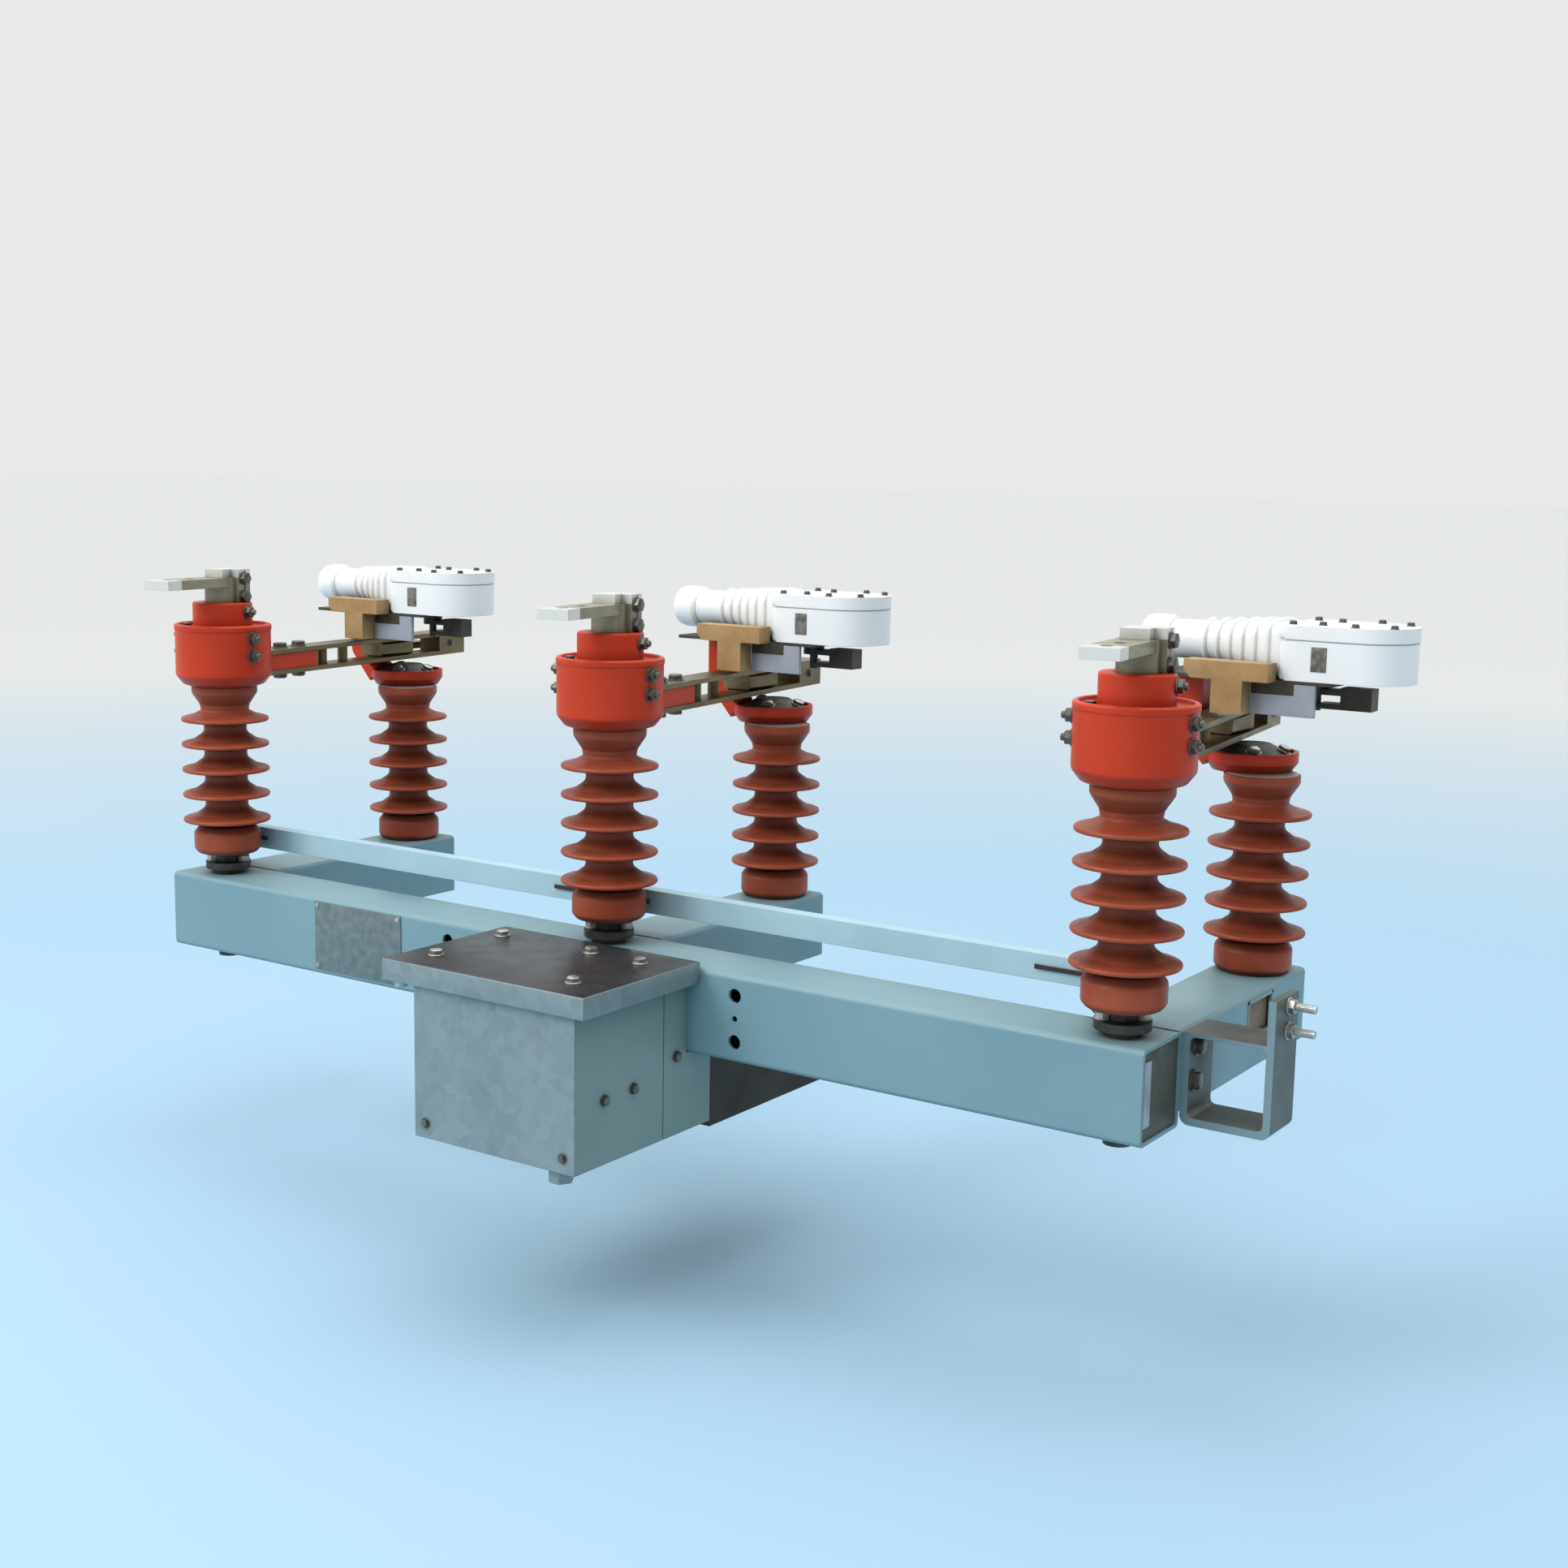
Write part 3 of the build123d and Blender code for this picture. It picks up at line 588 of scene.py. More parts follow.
BRASS = Finish("cast_brass", Slot.BRASS, (0.36, 0.212, 0.088), (0.46, 0.290, 0.130),
               (0.54, 0.40, 0.22), (0.07, 0.042, 0.018), roughness=(0.40, 0.56), metallic=0.3,
               patch=0.03, grain=0.0015, grain_depth=0.0001, edge_radius=0.0012, painted_underside_shade=0.3, specular=0.4)
WHITE = Finish("white_housing", Slot.WHITE_RESIN, (0.83, 0.855, 0.862), (0.87, 0.885, 0.89),
               (0.91, 0.92, 0.92), (0.34, 0.36, 0.36), roughness=(0.28, 0.40), patch=0.09,
               grain_depth=0.00002, edge_wear=0.1, dirt_and_shade=0.45, painted_underside_shade=0.25)
WINDOW = Finish("smoked_window", Slot.GREY_PAINT, (0.09, 0.085, 0.072), (0.21, 0.20, 0.18),
                (0.4, 0.4, 0.38), (0.03, 0.026, 0.022), roughness=(0.14, 0.26), patch=0.006)
DARK = Finish("blackened_steel", Slot.DARK_STEEL, (0.055, 0.049, 0.038), (0.085, 0.076, 0.060),
              (0.19, 0.175, 0.15), (0.010, 0.009, 0.008), roughness=(0.34, 0.54), metallic=0.45,
              patch=0.02, edge_radius=0.0008, dust=0.03)
GREY_PLATE = Finish("grey_plate", Slot.GREY_PLATE, (0.31, 0.345, 0.41), (0.38, 0.41, 0.47),
                    (0.58, 0.60, 0.64), (0.09, 0.09, 0.10), roughness=(0.30, 0.46), metallic=0.2,
                    patch=0.03)
BROWN_GREY = Finish("brown_grey_paint", Slot.GREY_PAINT, (0.023, 0.0158, 0.0083), (0.035, 0.024, 0.0135),
                    (0.13, 0.13, 0.12), (0.010, 0.009, 0.008), roughness=(0.36, 0.54), metallic=0.1,
                    patch=0.10, dust=0.02, specular=0.3)
LID_TOP = Finish("dark_lid_sheet", Slot.GREY_PAINT, (0.022, 0.025, 0.029), (0.034, 0.038, 0.043),
                 (0.16, 0.17, 0.18), (0.010, 0.010, 0.010), roughness=(0.24, 0.38),
                 patch=0.07, dust=0.01, specular=0.2)
NAMEPLATE = Finish("bare_plate", Slot.GALVANISED, (0.120, 0.160, 0.165), (0.175, 0.22, 0.225),
                   (0.33, 0.37, 0.37), (0.06, 0.07, 0.07), roughness=(0.34, 0.52), metallic=0.3,
                   patch=0.012, grain=0.004, edge_radius=0.0004)
INSERT = Finish("brown_insert", Slot.GREY_PAINT, (0.17, 0.110, 0.062), (0.22, 0.150, 0.090),
                (0.30, 0.27, 0.23), (0.035, 0.028, 0.022), roughness=(0.4, 0.6), patch=0.02)


class Finishes:
    """Makes each material once."""

    made: dict[str, bpy.types.Material] = {}

    @classmethod
    def get(cls, finish: Finish) -> bpy.types.Material:
        """Give a finish's material, and make it the first time.

        Args:
            finish: The finish.

        Returns:
            Its material.
        """
        if finish.name not in cls.made:
            cls.made[finish.name] = finish.make()
        return cls.made[finish.name]


def polar(radius: float, degrees: float) -> Span:
    """Give the point at a radius and an angle about the origin."""
    angle = math.radians(degrees)
    return radius * math.cos(angle), radius * math.sin(angle)


def rounded(corners: Profile) -> list[Span]:
    """Round the corners of an open outline.

    Args:
        corners: Points as (across, up) or (across, up, radius).

    Returns:
        The outline's points.
    """
    points: list[Span] = []
    for number, corner in enumerate(corners):
        here = Vector(corner[:2])
        radius = corner[2] if len(corner) > 2 else 0.0
        if not radius or number in (0, len(corners) - 1):
            points.append((here.x, here.y))
            continue
        before = Vector(corners[number - 1][:2]) - here
        after = Vector(corners[number + 1][:2]) - here
        half = before.angle(after) / 2
        back = min(radius / math.tan(half), CORNER_SHARE * before.length, CORNER_SHARE * after.length)
        start = here + before.normalized() * back
        end = here + after.normalized() * back
        for step in range(CORNER_STEPS + 1):
            share = step / CORNER_STEPS
            spot = start * (1 - share) ** 2 + here * 2 * share * (1 - share) + end * share ** 2
            points.append((spot.x, spot.y))
    return points


def join(part: bmesh.types.BMesh, low: Ring, high: Ring) -> None:
    """Join two rings of corners by faces, where a ring of one corner is a tip.

    Args:
        part: The shape that takes the faces.
        low: The first ring.
        high: The second ring.
    """
    count = max(len(low), len(high))
    for number in range(count):
        after = (number + 1) % count
        if len(low) == 1:
            part.faces.new((low[0], high[after], high[number]))
        elif len(high) == 1:
            part.faces.new((low[number], low[after], high[0]))
        else:
            part.faces.new((low[number], low[after], high[after], high[number]))


class Body:
    """Gathers the meshes of one piece and puts it on a body of the frame."""

    def __init__(self, name: str, finish: Finish, body: str = "frame", sharp: float = 35.0) -> None:
        """Start an empty piece.

        Args:
            name: The piece's name.
            finish: Its finish.
            body: The body that it rides on.
            sharp: Angle above which an edge stays sharp, in degrees.
        """
        self.name = name
        self.body = body
        self.finish = finish
        self.sharp = sharp
        self.gathered = bmesh.new()
        self.extra: list[Finish] = []

    def take(self, part: bmesh.types.BMesh, matrix: Matrix, material: int = 0) -> None:
        """Add a finished shape to the piece.

        Args:
            part: The shape, which is used up.
            matrix: Where it goes.
            material: Number of its material on the piece.
        """
        bmesh.ops.recalc_face_normals(part, faces=part.faces)
        for face in part.faces:
            face.material_index = material
        mesh = bpy.data.meshes.new("shape")
        part.to_mesh(mesh)
        part.free()
        mesh.transform(matrix)
        self.gathered.from_mesh(mesh)
        bpy.data.meshes.remove(mesh)

    def turned(self, profile: Profile, matrix: Matrix, sides: int) -> None:
        """Add a shape turned about its own z axis.

        Args:
            profile: Outline as (radius, height) points, closed or from axis to axis.
            matrix: Where the shape goes.
            sides: Number of sides of the round.
        """
        part = bmesh.new()
        rings = []
        for radius, height in profile:
            if radius < ON_AXIS:
                rings.append([part.verts.new((0, 0, height))])
                continue
            ring = []
            for side in range(sides):
                angle = 2 * math.pi * side / sides
                ring.append(part.verts.new((radius * math.cos(angle), radius * math.sin(angle), height)))
            rings.append(ring)
        for low, high in zip(rings, rings[1:]):
            join(part, low, high)
        self.take(part, matrix)

    def block(self, low: Point, high: Point, matrix: Matrix, bevel: float, material: int = 0) -> None:
        """Add a block with small rounded edges.

        Args:
            low: Its lowest corner.
            high: Its highest corner.
            matrix: Where the shape goes.
            bevel: Radius of its edges.
            material: Number of its material on the piece.
        """
        part = bmesh.new()
        bmesh.ops.create_cube(part, size=1.0)
        size = Vector(high) - Vector(low)
        middle = (Vector(high) + Vector(low)) / 2
        fit = Matrix.Translation(middle) @ Matrix.Diagonal((*size, 1))
        bmesh.ops.transform(part, matrix=fit, verts=part.verts)
        if bevel:
            bmesh.ops.bevel(part, geom=part.edges[:], offset=bevel, segments=BEVEL_SEGMENTS,
                            profile=BEVEL_PROFILE, affect="EDGES")
        self.take(part, matrix, material)

    def prism(self, outline: Sequence[Span], low: float, high: float, matrix: Matrix, bevel: float) -> None:
        """Add an upright prism on a closed outline.

        Args:
            outline: The outline's points.
            low: Level of its foot.
            high: Level of its top.
            matrix: Where the shape goes.
            bevel: Radius of its top and bottom edges.
        """
        part = bmesh.new()
        foot = [part.verts.new((x, y, low)) for x, y in outline]
        top = [part.verts.new((x, y, high)) for x, y in outline]
        caps = [part.faces.new(foot[::-1]), part.faces.new(top)]
        join(part, foot, top)
        if bevel:
            rims = [edge for cap in caps for edge in cap.edges]
            bmesh.ops.bevel(part, geom=rims, offset=bevel, segments=BEVEL_SEGMENTS,
                            profile=BEVEL_PROFILE, affect="EDGES")
        self.take(part, matrix)

    def done(self, *replaced: str) -> None:
        """Turn the gathered shapes into a piece of the scene.

        Args:
            *replaced: CAD nodes that it stands for.
        """
        mesh = bpy.data.meshes.new(self.name)
        self.gathered.to_mesh(mesh)
        self.gathered.free()
        for polygon in mesh.polygons:
            polygon.use_smooth = True
        mesh.set_sharp_from_angle(angle=math.radians(self.sharp))
        for finish in (self.finish, *self.extra):
            mesh.materials.append(Finishes.get(finish))
        piece = bpy.data.objects.new(self.name, mesh)
        bpy.context.scene.collection.objects.link(piece)
        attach(piece, self.body)
        if replaced:
            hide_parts(*replaced)
        LOG.info("piece %s on %s, %d faces", self.name, self.body, len(mesh.polygons))


@dataclass(frozen=True)
class Bolt:
    """A hexagon bolt head on its washer, or a nut on a stud's end, in millimetres."""

    across: float
    head: float
    washer_radius: float
    washer: float
    stud: float = 0.0
    washer_edge: float = 0.7
    chamfer: float = 0.16
    slope: float = 1.8
    stud_share: float = 0.29

    def add(self, piece: Body, spot: Point, direction: Point, matrix: Matrix) -> None:
        """Add the bolt to a piece.

        Args:
            piece: The piece that takes it.
            spot: Where it sits on the surface.
            direction: The way that its head points.
            matrix: The matrix of the piece's own millimetres.
        """
        turn = Vector(direction).to_track_quat("Z", "Y").to_matrix().to_4x4()
        place = matrix @ Matrix.Translation(spot) @ turn
        corner = self.across / math.sqrt(3)
        chamfer = self.head * self.chamfer
        rim = [(0, 0), (self.washer_radius, 0), (self.washer_radius, self.washer * self.washer_edge),
               (self.washer_radius - 0.5, self.washer), (0, self.washer)]
        piece.turned(rim, place, WASHER_SIDES)
        top = self.washer + self.head
        piece.turned([(0, self.washer), (corner, self.washer), (corner, top - chamfer),
                      (corner - chamfer * self.slope, top), (0, top)], place, HEXAGON)
        if self.stud:
            radius = self.across * self.stud_share
            piece.turned([(0, top - 0.5), (radius, top - 0.5), (radius, top + self.stud - 1),
                          (radius - 1, top + self.stud), (0, top + self.stud)], place, STUD_SIDES)


BLADE_BOLT = Bolt(16.5, 6.0, 10.5, 1.2)
CLAMP_BOLT = Bolt(14.0, 6.0, 8.5, 1.2)
CONE_BOLT = Bolt(13.0, 4.6, 9.0, 1.2)
M6 = Bolt(10.0, 4.0, 6.5, 1.2)
M8 = Bolt(13.0, 5.3, 9.0, 1.6)
M8_NUT = Bolt(13.0, 6.2, 9.0, 1.6, 4.0)
M8_STUD = Bolt(13.0, 6.5, 9.0, 1.6)
M10 = Bolt(16.0, 6.4, 11.0, 2.0)
FOOT_NUT = Bolt(13.0, 6.2, 8.0, 1.6, 4.4)
SCREW = Bolt(8.0, 3.0, 6.0, 0.8)
LID_SCREW = Bolt(7.0, 3.2, 4.8, 0.8)
RIVET = Bolt(5.0, 1.4, 3.4, 0.4)


@dataclass(frozen=True)
class Lamp:
    """A soft square lamp; its spot is in metres from the middle of the switch, its power in watts."""

    name: str
    spot: Point
    size: float
    power: float
    colour: Colour

    def hang(self) -> None:
        """Hang the lamp so that it faces the switch."""
        data = bpy.data.lights.new(self.name, "AREA")
        data.shape = "SQUARE"
        data.size = self.size
        data.energy = self.power
        data.color = self.colour
        lamp = bpy.data.objects.new(self.name, data)
        low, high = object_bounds()
        middle = (low + high) / 2
        lamp.location = middle + Vector(self.spot)
        lamp.rotation_euler = (middle - lamp.location).to_track_quat("-Z", "Y").to_euler()
        bpy.context.scene.collection.objects.link(lamp)


LAMPS = (Lamp("key_lamp", (-1.7, -3.3, 2.9), 2.0, 90.0, (1.0, 0.985, 0.96)),
         Lamp("top_lamp", (0.2, 0.2, 3.4), 2.0, 26.0, (0.97, 0.98, 1.0)))


@dataclass
class Studio:
    """Floor, soft lights and the camera at the photograph's angle."""

    camera_spot: Point = (0.6981, -1.9192, 0.6009)
    yaw: float = 34.06
    pitch: float = 8.81
    roll: float = 1.01
    focal_pixels: float = 2566.0
    image_pixels: float = 1932.0
    sensor: float = 36.0
    clip: Span = (0.05, 200.0)
    floor_gap: float = 0.18
    floor_size: float = 60.0
    floor_near: Colour = (0.34, 0.51, 0.65)
    floor_far: Colour = (0.64, 0.65, 0.645)
    floor_fade: Span = (2.2, 7.0)
    floor_roughness: float = 0.9
    floor_specular: float = 0.1
    air_colour: Colour = (0.985, 1.0, 0.99)
    walls: tuple[float, ...] = (-0.1, 0.8, 0.82, 0.34)
    ceiling: tuple[float, ...] = (0.25, 0.9, 0.0, 0.85)

    def camera(self) -> None:
        """Make the camera."""
        yaw, pitch, roll = (math.radians(angle) for angle in (self.yaw, self.pitch, self.roll))
        ahead = Vector((-math.sin(yaw) * math.cos(pitch), math.cos(yaw) * math.cos(pitch), -math.sin(pitch)))
        level = Vector((math.cos(yaw), math.sin(yaw), 0))
        lift = level.cross(ahead)
        right = math.cos(roll) * level + math.sin(roll) * lift
        up = math.cos(roll) * lift - math.sin(roll) * level
        data = bpy.data.cameras.new("camera")
        data.sensor_width = self.sensor
        data.lens = self.focal_pixels * self.sensor / self.image_pixels
        data.clip_start, data.clip_end = self.clip
        camera = bpy.data.objects.new("camera", data)
        bpy.context.scene.collection.objects.link(camera)
        turn = Matrix((right, up, -ahead)).transposed().to_4x4()
        camera.matrix_world = Matrix.Translation(self.camera_spot) @ turn
        bpy.context.scene.camera = camera

    def floor(self) -> None:
        """Lay the pale floor well below the switch, which hangs on its bracket."""
        low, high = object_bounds()
        material = bpy.data.materials.new("pale_floor")
        graph = Graph(material)
        middle = ((low.x + high.x) / 2, (low.y + high.y) / 2, 0)
        away = graph.add("ShaderNodeVectorMath", {0: graph.place, 1: middle}, operation="DISTANCE")
        share = graph.spread(away.outputs["Value"], *self.floor_fade)
        graph.feed(graph.shader, {
            "Base Color": graph.blend(share, self.floor_near, self.floor_far),
            "Roughness": self.floor_roughness, "Specular IOR Level": self.floor_specular})
        mesh = bpy.data.meshes.new("floor")
        half = self.floor_size
        corners = [(-half, -half, 0), (half, -half, 0), (half, half, 0), (-half, half, 0)]
        mesh.from_pydata(corners, [], [(0, 1, 2, 3)])
        mesh.materials.append(material)
        floor = bpy.data.objects.new("floor", mesh)
        floor.location.z = low.z - self.floor_gap
        bpy.context.scene.collection.objects.link(floor)
        floor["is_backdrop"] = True

    def backdrop(self) -> None:
        """Light the room: pale walls, a darker one at the right end and a brighter ceiling."""
        world = bpy.data.worlds.new("pale_room")
        graph = Graph(world, "Background")
        aim = graph.coordinates.outputs["Generated"]
        wall = graph.spread(graph.share(aim, "X"), *self.walls, course="SMOOTHSTEP")
        ceiling = graph.spread(graph.share(aim, "Z"), *self.ceiling, course="SMOOTHSTEP")
        graph.feed(graph.shader, {"Color": self.air_colour, "Strength": graph.math("ADD", wall, ceiling)})
        bpy.context.scene.world = world

    def build(self) -> None:
        """Set up camera, floor, lamps and room."""
        self.camera()
        self.floor()
        for lamp in LAMPS:
            lamp.hang()
        self.backdrop()
        bpy.context.scene.view_settings.view_transform = "Standard"
        bpy.context.scene.view_settings.look = "None"


@dataclass
class Insulator:
    """A composite insulator with five soft-edged sheds."""

    base_radius: float = 43.0
    core_radius: float = 27.5
    shed_radius: float = 56.2
    shed_count: int = 5
    shed_pitch: float = 33.3
    first_shed: float = 48.0
    waist_radius: float = 32.0
    head_radius: float = 42.0
    height: float = 222.2
    nut_circle: float = 20.5
    nut_swing: float = 34.0
    nut_drop: float = 12.5

    def profile(self) -> list[Span]:
        """Draw the outline from the foot's middle to the head's middle.

        Returns:
            The outline's (radius, height) points.
        """
        core = self.core_radius
        rim = self.shed_radius
        line: list[tuple[float, ...]] = [
            (0, 0), (self.base_radius - 5, 0, 4), (self.base_radius, 6, 6), (self.base_radius, 27, 7),
            (self.base_radius - 7, 36, 5), (core, 37, 2)]
        for number in range(self.shed_count):
            level = self.first_shed + number * self.shed_pitch
            line += [(core, level - 10, 5), (rim - 12, level - 6.2, 9), (rim - 0.8, level - 6.0, 1.6),
                     (rim, level - 3.4, 1.6), (rim - 1.0, level - 1.2, 1.6), (rim - 15, level + 2.6, 12),
                     (core + 2, level + 11, 8), (core, level + 15, 3)]
        top = self.first_shed + (self.shed_count - 1) * self.shed_pitch
        line = line[:-2]
        line += [(core + 3, top + 8, 8), (self.waist_radius - 0.5, top + 13, 4),
                 (self.waist_radius, top + 16, 3), (self.head_radius - 1.5, top + 29, 4),
                 (self.head_radius, top + 32, 2), (self.head_radius, self.height, 1.5), (0, self.height)]
        return rounded(line)

    def build(self, phase: Phase, row: Row) -> None:
        """Build one insulator in place of its node.

        Args:
            phase: Its phase.
            row: Its row of posts.
        """
        turning = row is Row.TURNING
        body = phase.post if turning else "frame"
        piece = Body(f"{row.value}_post_rubber_{phase.value}", SILICONE, body, 60)
        y = 0.0 if turning else LAYOUT.row_gap
        z = LAYOUT.post_base if turning else 0.0
        piece.turned(self.profile(), LAYOUT.matrix(phase, y, z), INSULATOR_SIDES)
        piece.done(f"{row.value}_insulator_{phase.value}")
        if turning:
            self.foot(phase)

    def foot(self, phase: Phase) -> None:
        """Set the two nuts on the shaft's flange, under a turning post.

        Args:
            phase: The post's phase.
        """
        nuts = Body(f"foot_nuts_{phase.value}", TINNED, phase.post)
        place = LAYOUT.matrix(phase, 0, LAYOUT.post_base)
        for radius in (-self.nut_circle, self.nut_circle):
            FOOT_NUT.add(nuts, (*polar(radius, self.nut_swing), -self.nut_drop), UP, place)
        nuts.done()


@dataclass
class Hood:
    """The red rain hood with its collar and clamping screws."""

    radius: float = 61.0
    height: float = 81.0
    corner: float = 14.0
    recess: float = 5.0
    collar_radius: float = 38.0
    collar_height: float = 28.0
    opening: float = 22.2
    screw_levels: Span = (64.0, 42.0)
    screw_turns: Span = (-10.0, 190.0)
    screw_seat: float = 0.4
    collar_turn: float = 8.0
    collar_level: float = 16.0
    ledge_screw: Span = (-37.5, -25.5)

    def profile(self) -> list[Span]:
        """Draw the outline of cup, ledge and collar.

        Returns:
            The outline's (radius, height) points.
        """
        top = self.height
        collar = top + self.collar_height
        return rounded([
            (0, 0), (44, 0, 2), (self.radius - 9, 2.5, 6), (self.radius, self.corner, 9),
            (self.radius, top - 9, 3), (self.radius + 0.9, top - 7, 2), (self.radius + 0.9, top - 2, 2),
            (self.radius - 1.5, top, 2), (self.radius - 5, top, 2), (self.radius - 6, top - self.recess, 2),
            (self.collar_radius + 1, top - self.recess, 2), (self.collar_radius, top - 2, 2),
            (self.collar_radius, collar, 3), (self.opening + 3, collar, 2), (self.opening, collar - 2, 1),
            (self.opening, collar - 4), (0, collar - 4)])

    def build(self, phase: Phase) -> None:
        """Build one hood in place of its node.

        Args:
            phase: Its phase.
        """
        place = LAYOUT.matrix(phase, 0, LAYOUT.post_top, BLADE_ANGLE)
        piece = Body(f"rain_hood_{phase.value}", RED, phase.post, 50)
        piece.turned(self.profile(), place, HOOD_SIDES)
        piece.done(f"hood_{phase.value}")
        screws = Body(f"hood_screws_{phase.value}", DARK_BOLT, phase.post)
        spots = [(self.radius, turn, level) for turn in self.screw_turns for level in self.screw_levels]
        spots.append((self.collar_radius, self.collar_turn, self.height + self.collar_level))
        for radius, turn, level in spots:
            seat = (*polar(radius - self.screw_seat, turn), level)
            M8_NUT.add(screws, seat, (*polar(1.0, turn), 0), place)
        M6.add(screws, (*self.ledge_screw, self.height - self.recess), UP, place)
        screws.done()


@dataclass
class Terminal:
    """The bolts of the terminal's clamp."""

    jaw_right: float = 28.0
    bolt_depth: float = 10.0
    bolt_levels: Span = (31.0, 7.6)

    def build(self, phase: Phase, hood: Hood) -> None:
        """Dress one terminal.

        Args:
            phase: Its phase.
            hood: The hood that it stands in.
        """
        base = LAYOUT.post_top + hood.height + hood.collar_height
        place = LAYOUT.matrix(phase, 0, base, BLADE_ANGLE)
        bolts = Body(f"terminal_bolts_{phase.value}", DARK_BOLT, phase.post)
        for level in self.bolt_levels:
            CLAMP_BOLT.add(bolts, (self.jaw_right, self.bolt_depth, level), RIGHTWARD, place)
        bolts.done()


@dataclass
class Blade:
    """Bolts that hold the blade's bars and its core together."""

    level: float = 257.0
    height: float = 34.0
    bolt_places: Span = (110.6, 148.5)
    end_bolt: float = 476.0
    half_width: float = 18.0

    def build(self, phase: Phase) -> None:
        """Add the bolts of one blade.

        Args:
            phase: Its phase.
        """
        place = LAYOUT.matrix(phase, 0, self.level, BLADE_ANGLE)
        piece = Body(f"blade_bolts_{phase.value}", DARK_BOLT, phase.post)
        for y in self.bolt_places:
            BLADE_BOLT.add(piece, (0, y, self.height), UP, place)
            BLADE_BOLT.add(piece, (0, y, 0), DOWN, place)
        SCREW.add(piece, (self.half_width, self.end_bolt, self.height / 2), RIGHTWARD, place)
        piece.done()


@dataclass
class FixedContact:
    """Bolts of the cone plates and the metal tops of the fixed posts."""

    cap_shift: Span = (-21.0, 21.0)
    foot_radius: float = 44.3
    insert_radius: float = 39.5
    insert_height: float = 0.6
    bolt_circle: float = 34.0
    bolt_turns: tuple[float, ...] = (-67.0, 12.0, 150.0)
    bolt_level: float = 22.7
    bolt_lean: float = 0.45
    outer_steps: int = 40
    inner_steps: int = 30

    def crescent(self) -> list[Span]:
        """Draw the part of a post's metal top that the cap leaves free.

        Returns:
            A closed outline of (x, y) points about the post's axis.
        """
        shift = Vector(self.cap_shift)
        reach = (self.insert_radius ** 2 + shift.length_squared - self.foot_radius ** 2) / 2
        half = math.acos(reach / (self.insert_radius * shift.length))
        start = math.atan2(shift.y, shift.x) + half
        sweep = 2 * math.pi - 2 * half
        outer = []
        for step in range(self.outer_steps + 1):
            angle = start + sweep * step / self.outer_steps
            outer.append(Vector((math.cos(angle), math.sin(angle))) * self.insert_radius)
        first, last = outer[-1] - shift, outer[0] - shift
        turn_from = math.atan2(first.y, first.x)
        turn_to = math.atan2(last.y, last.x)
        points = [(spot.x, spot.y) for spot in outer]
        for step in range(1, self.inner_steps):
            angle = turn_from + (turn_to - turn_from) * step / self.inner_steps
            spot = shift + Vector((math.cos(angle), math.sin(angle))) * self.foot_radius
            points.append((spot.x, spot.y))
        return points

    def build(self) -> None:
        """Add the pieces of all three phases."""
        tops = Body("post_metal_tops", TINNED)
        bolts = Body("cone_bolts", BOLT)
        for phase in Phase:
            place = LAYOUT.matrix(phase, LAYOUT.row_gap, LAYOUT.cap_base)
            tops.prism(self.crescent(), 0.0, self.insert_height, place, 0)
            spot = place @ Matrix.Translation((*self.cap_shift, 0))
            for turn in self.bolt_turns:
                at = (*polar(self.bolt_circle, turn), self.bolt_level)
                CONE_BOLT.add(bolts, at, (*polar(self.bolt_lean, turn), 1), spot)
        tops.done()
        bolts.done()


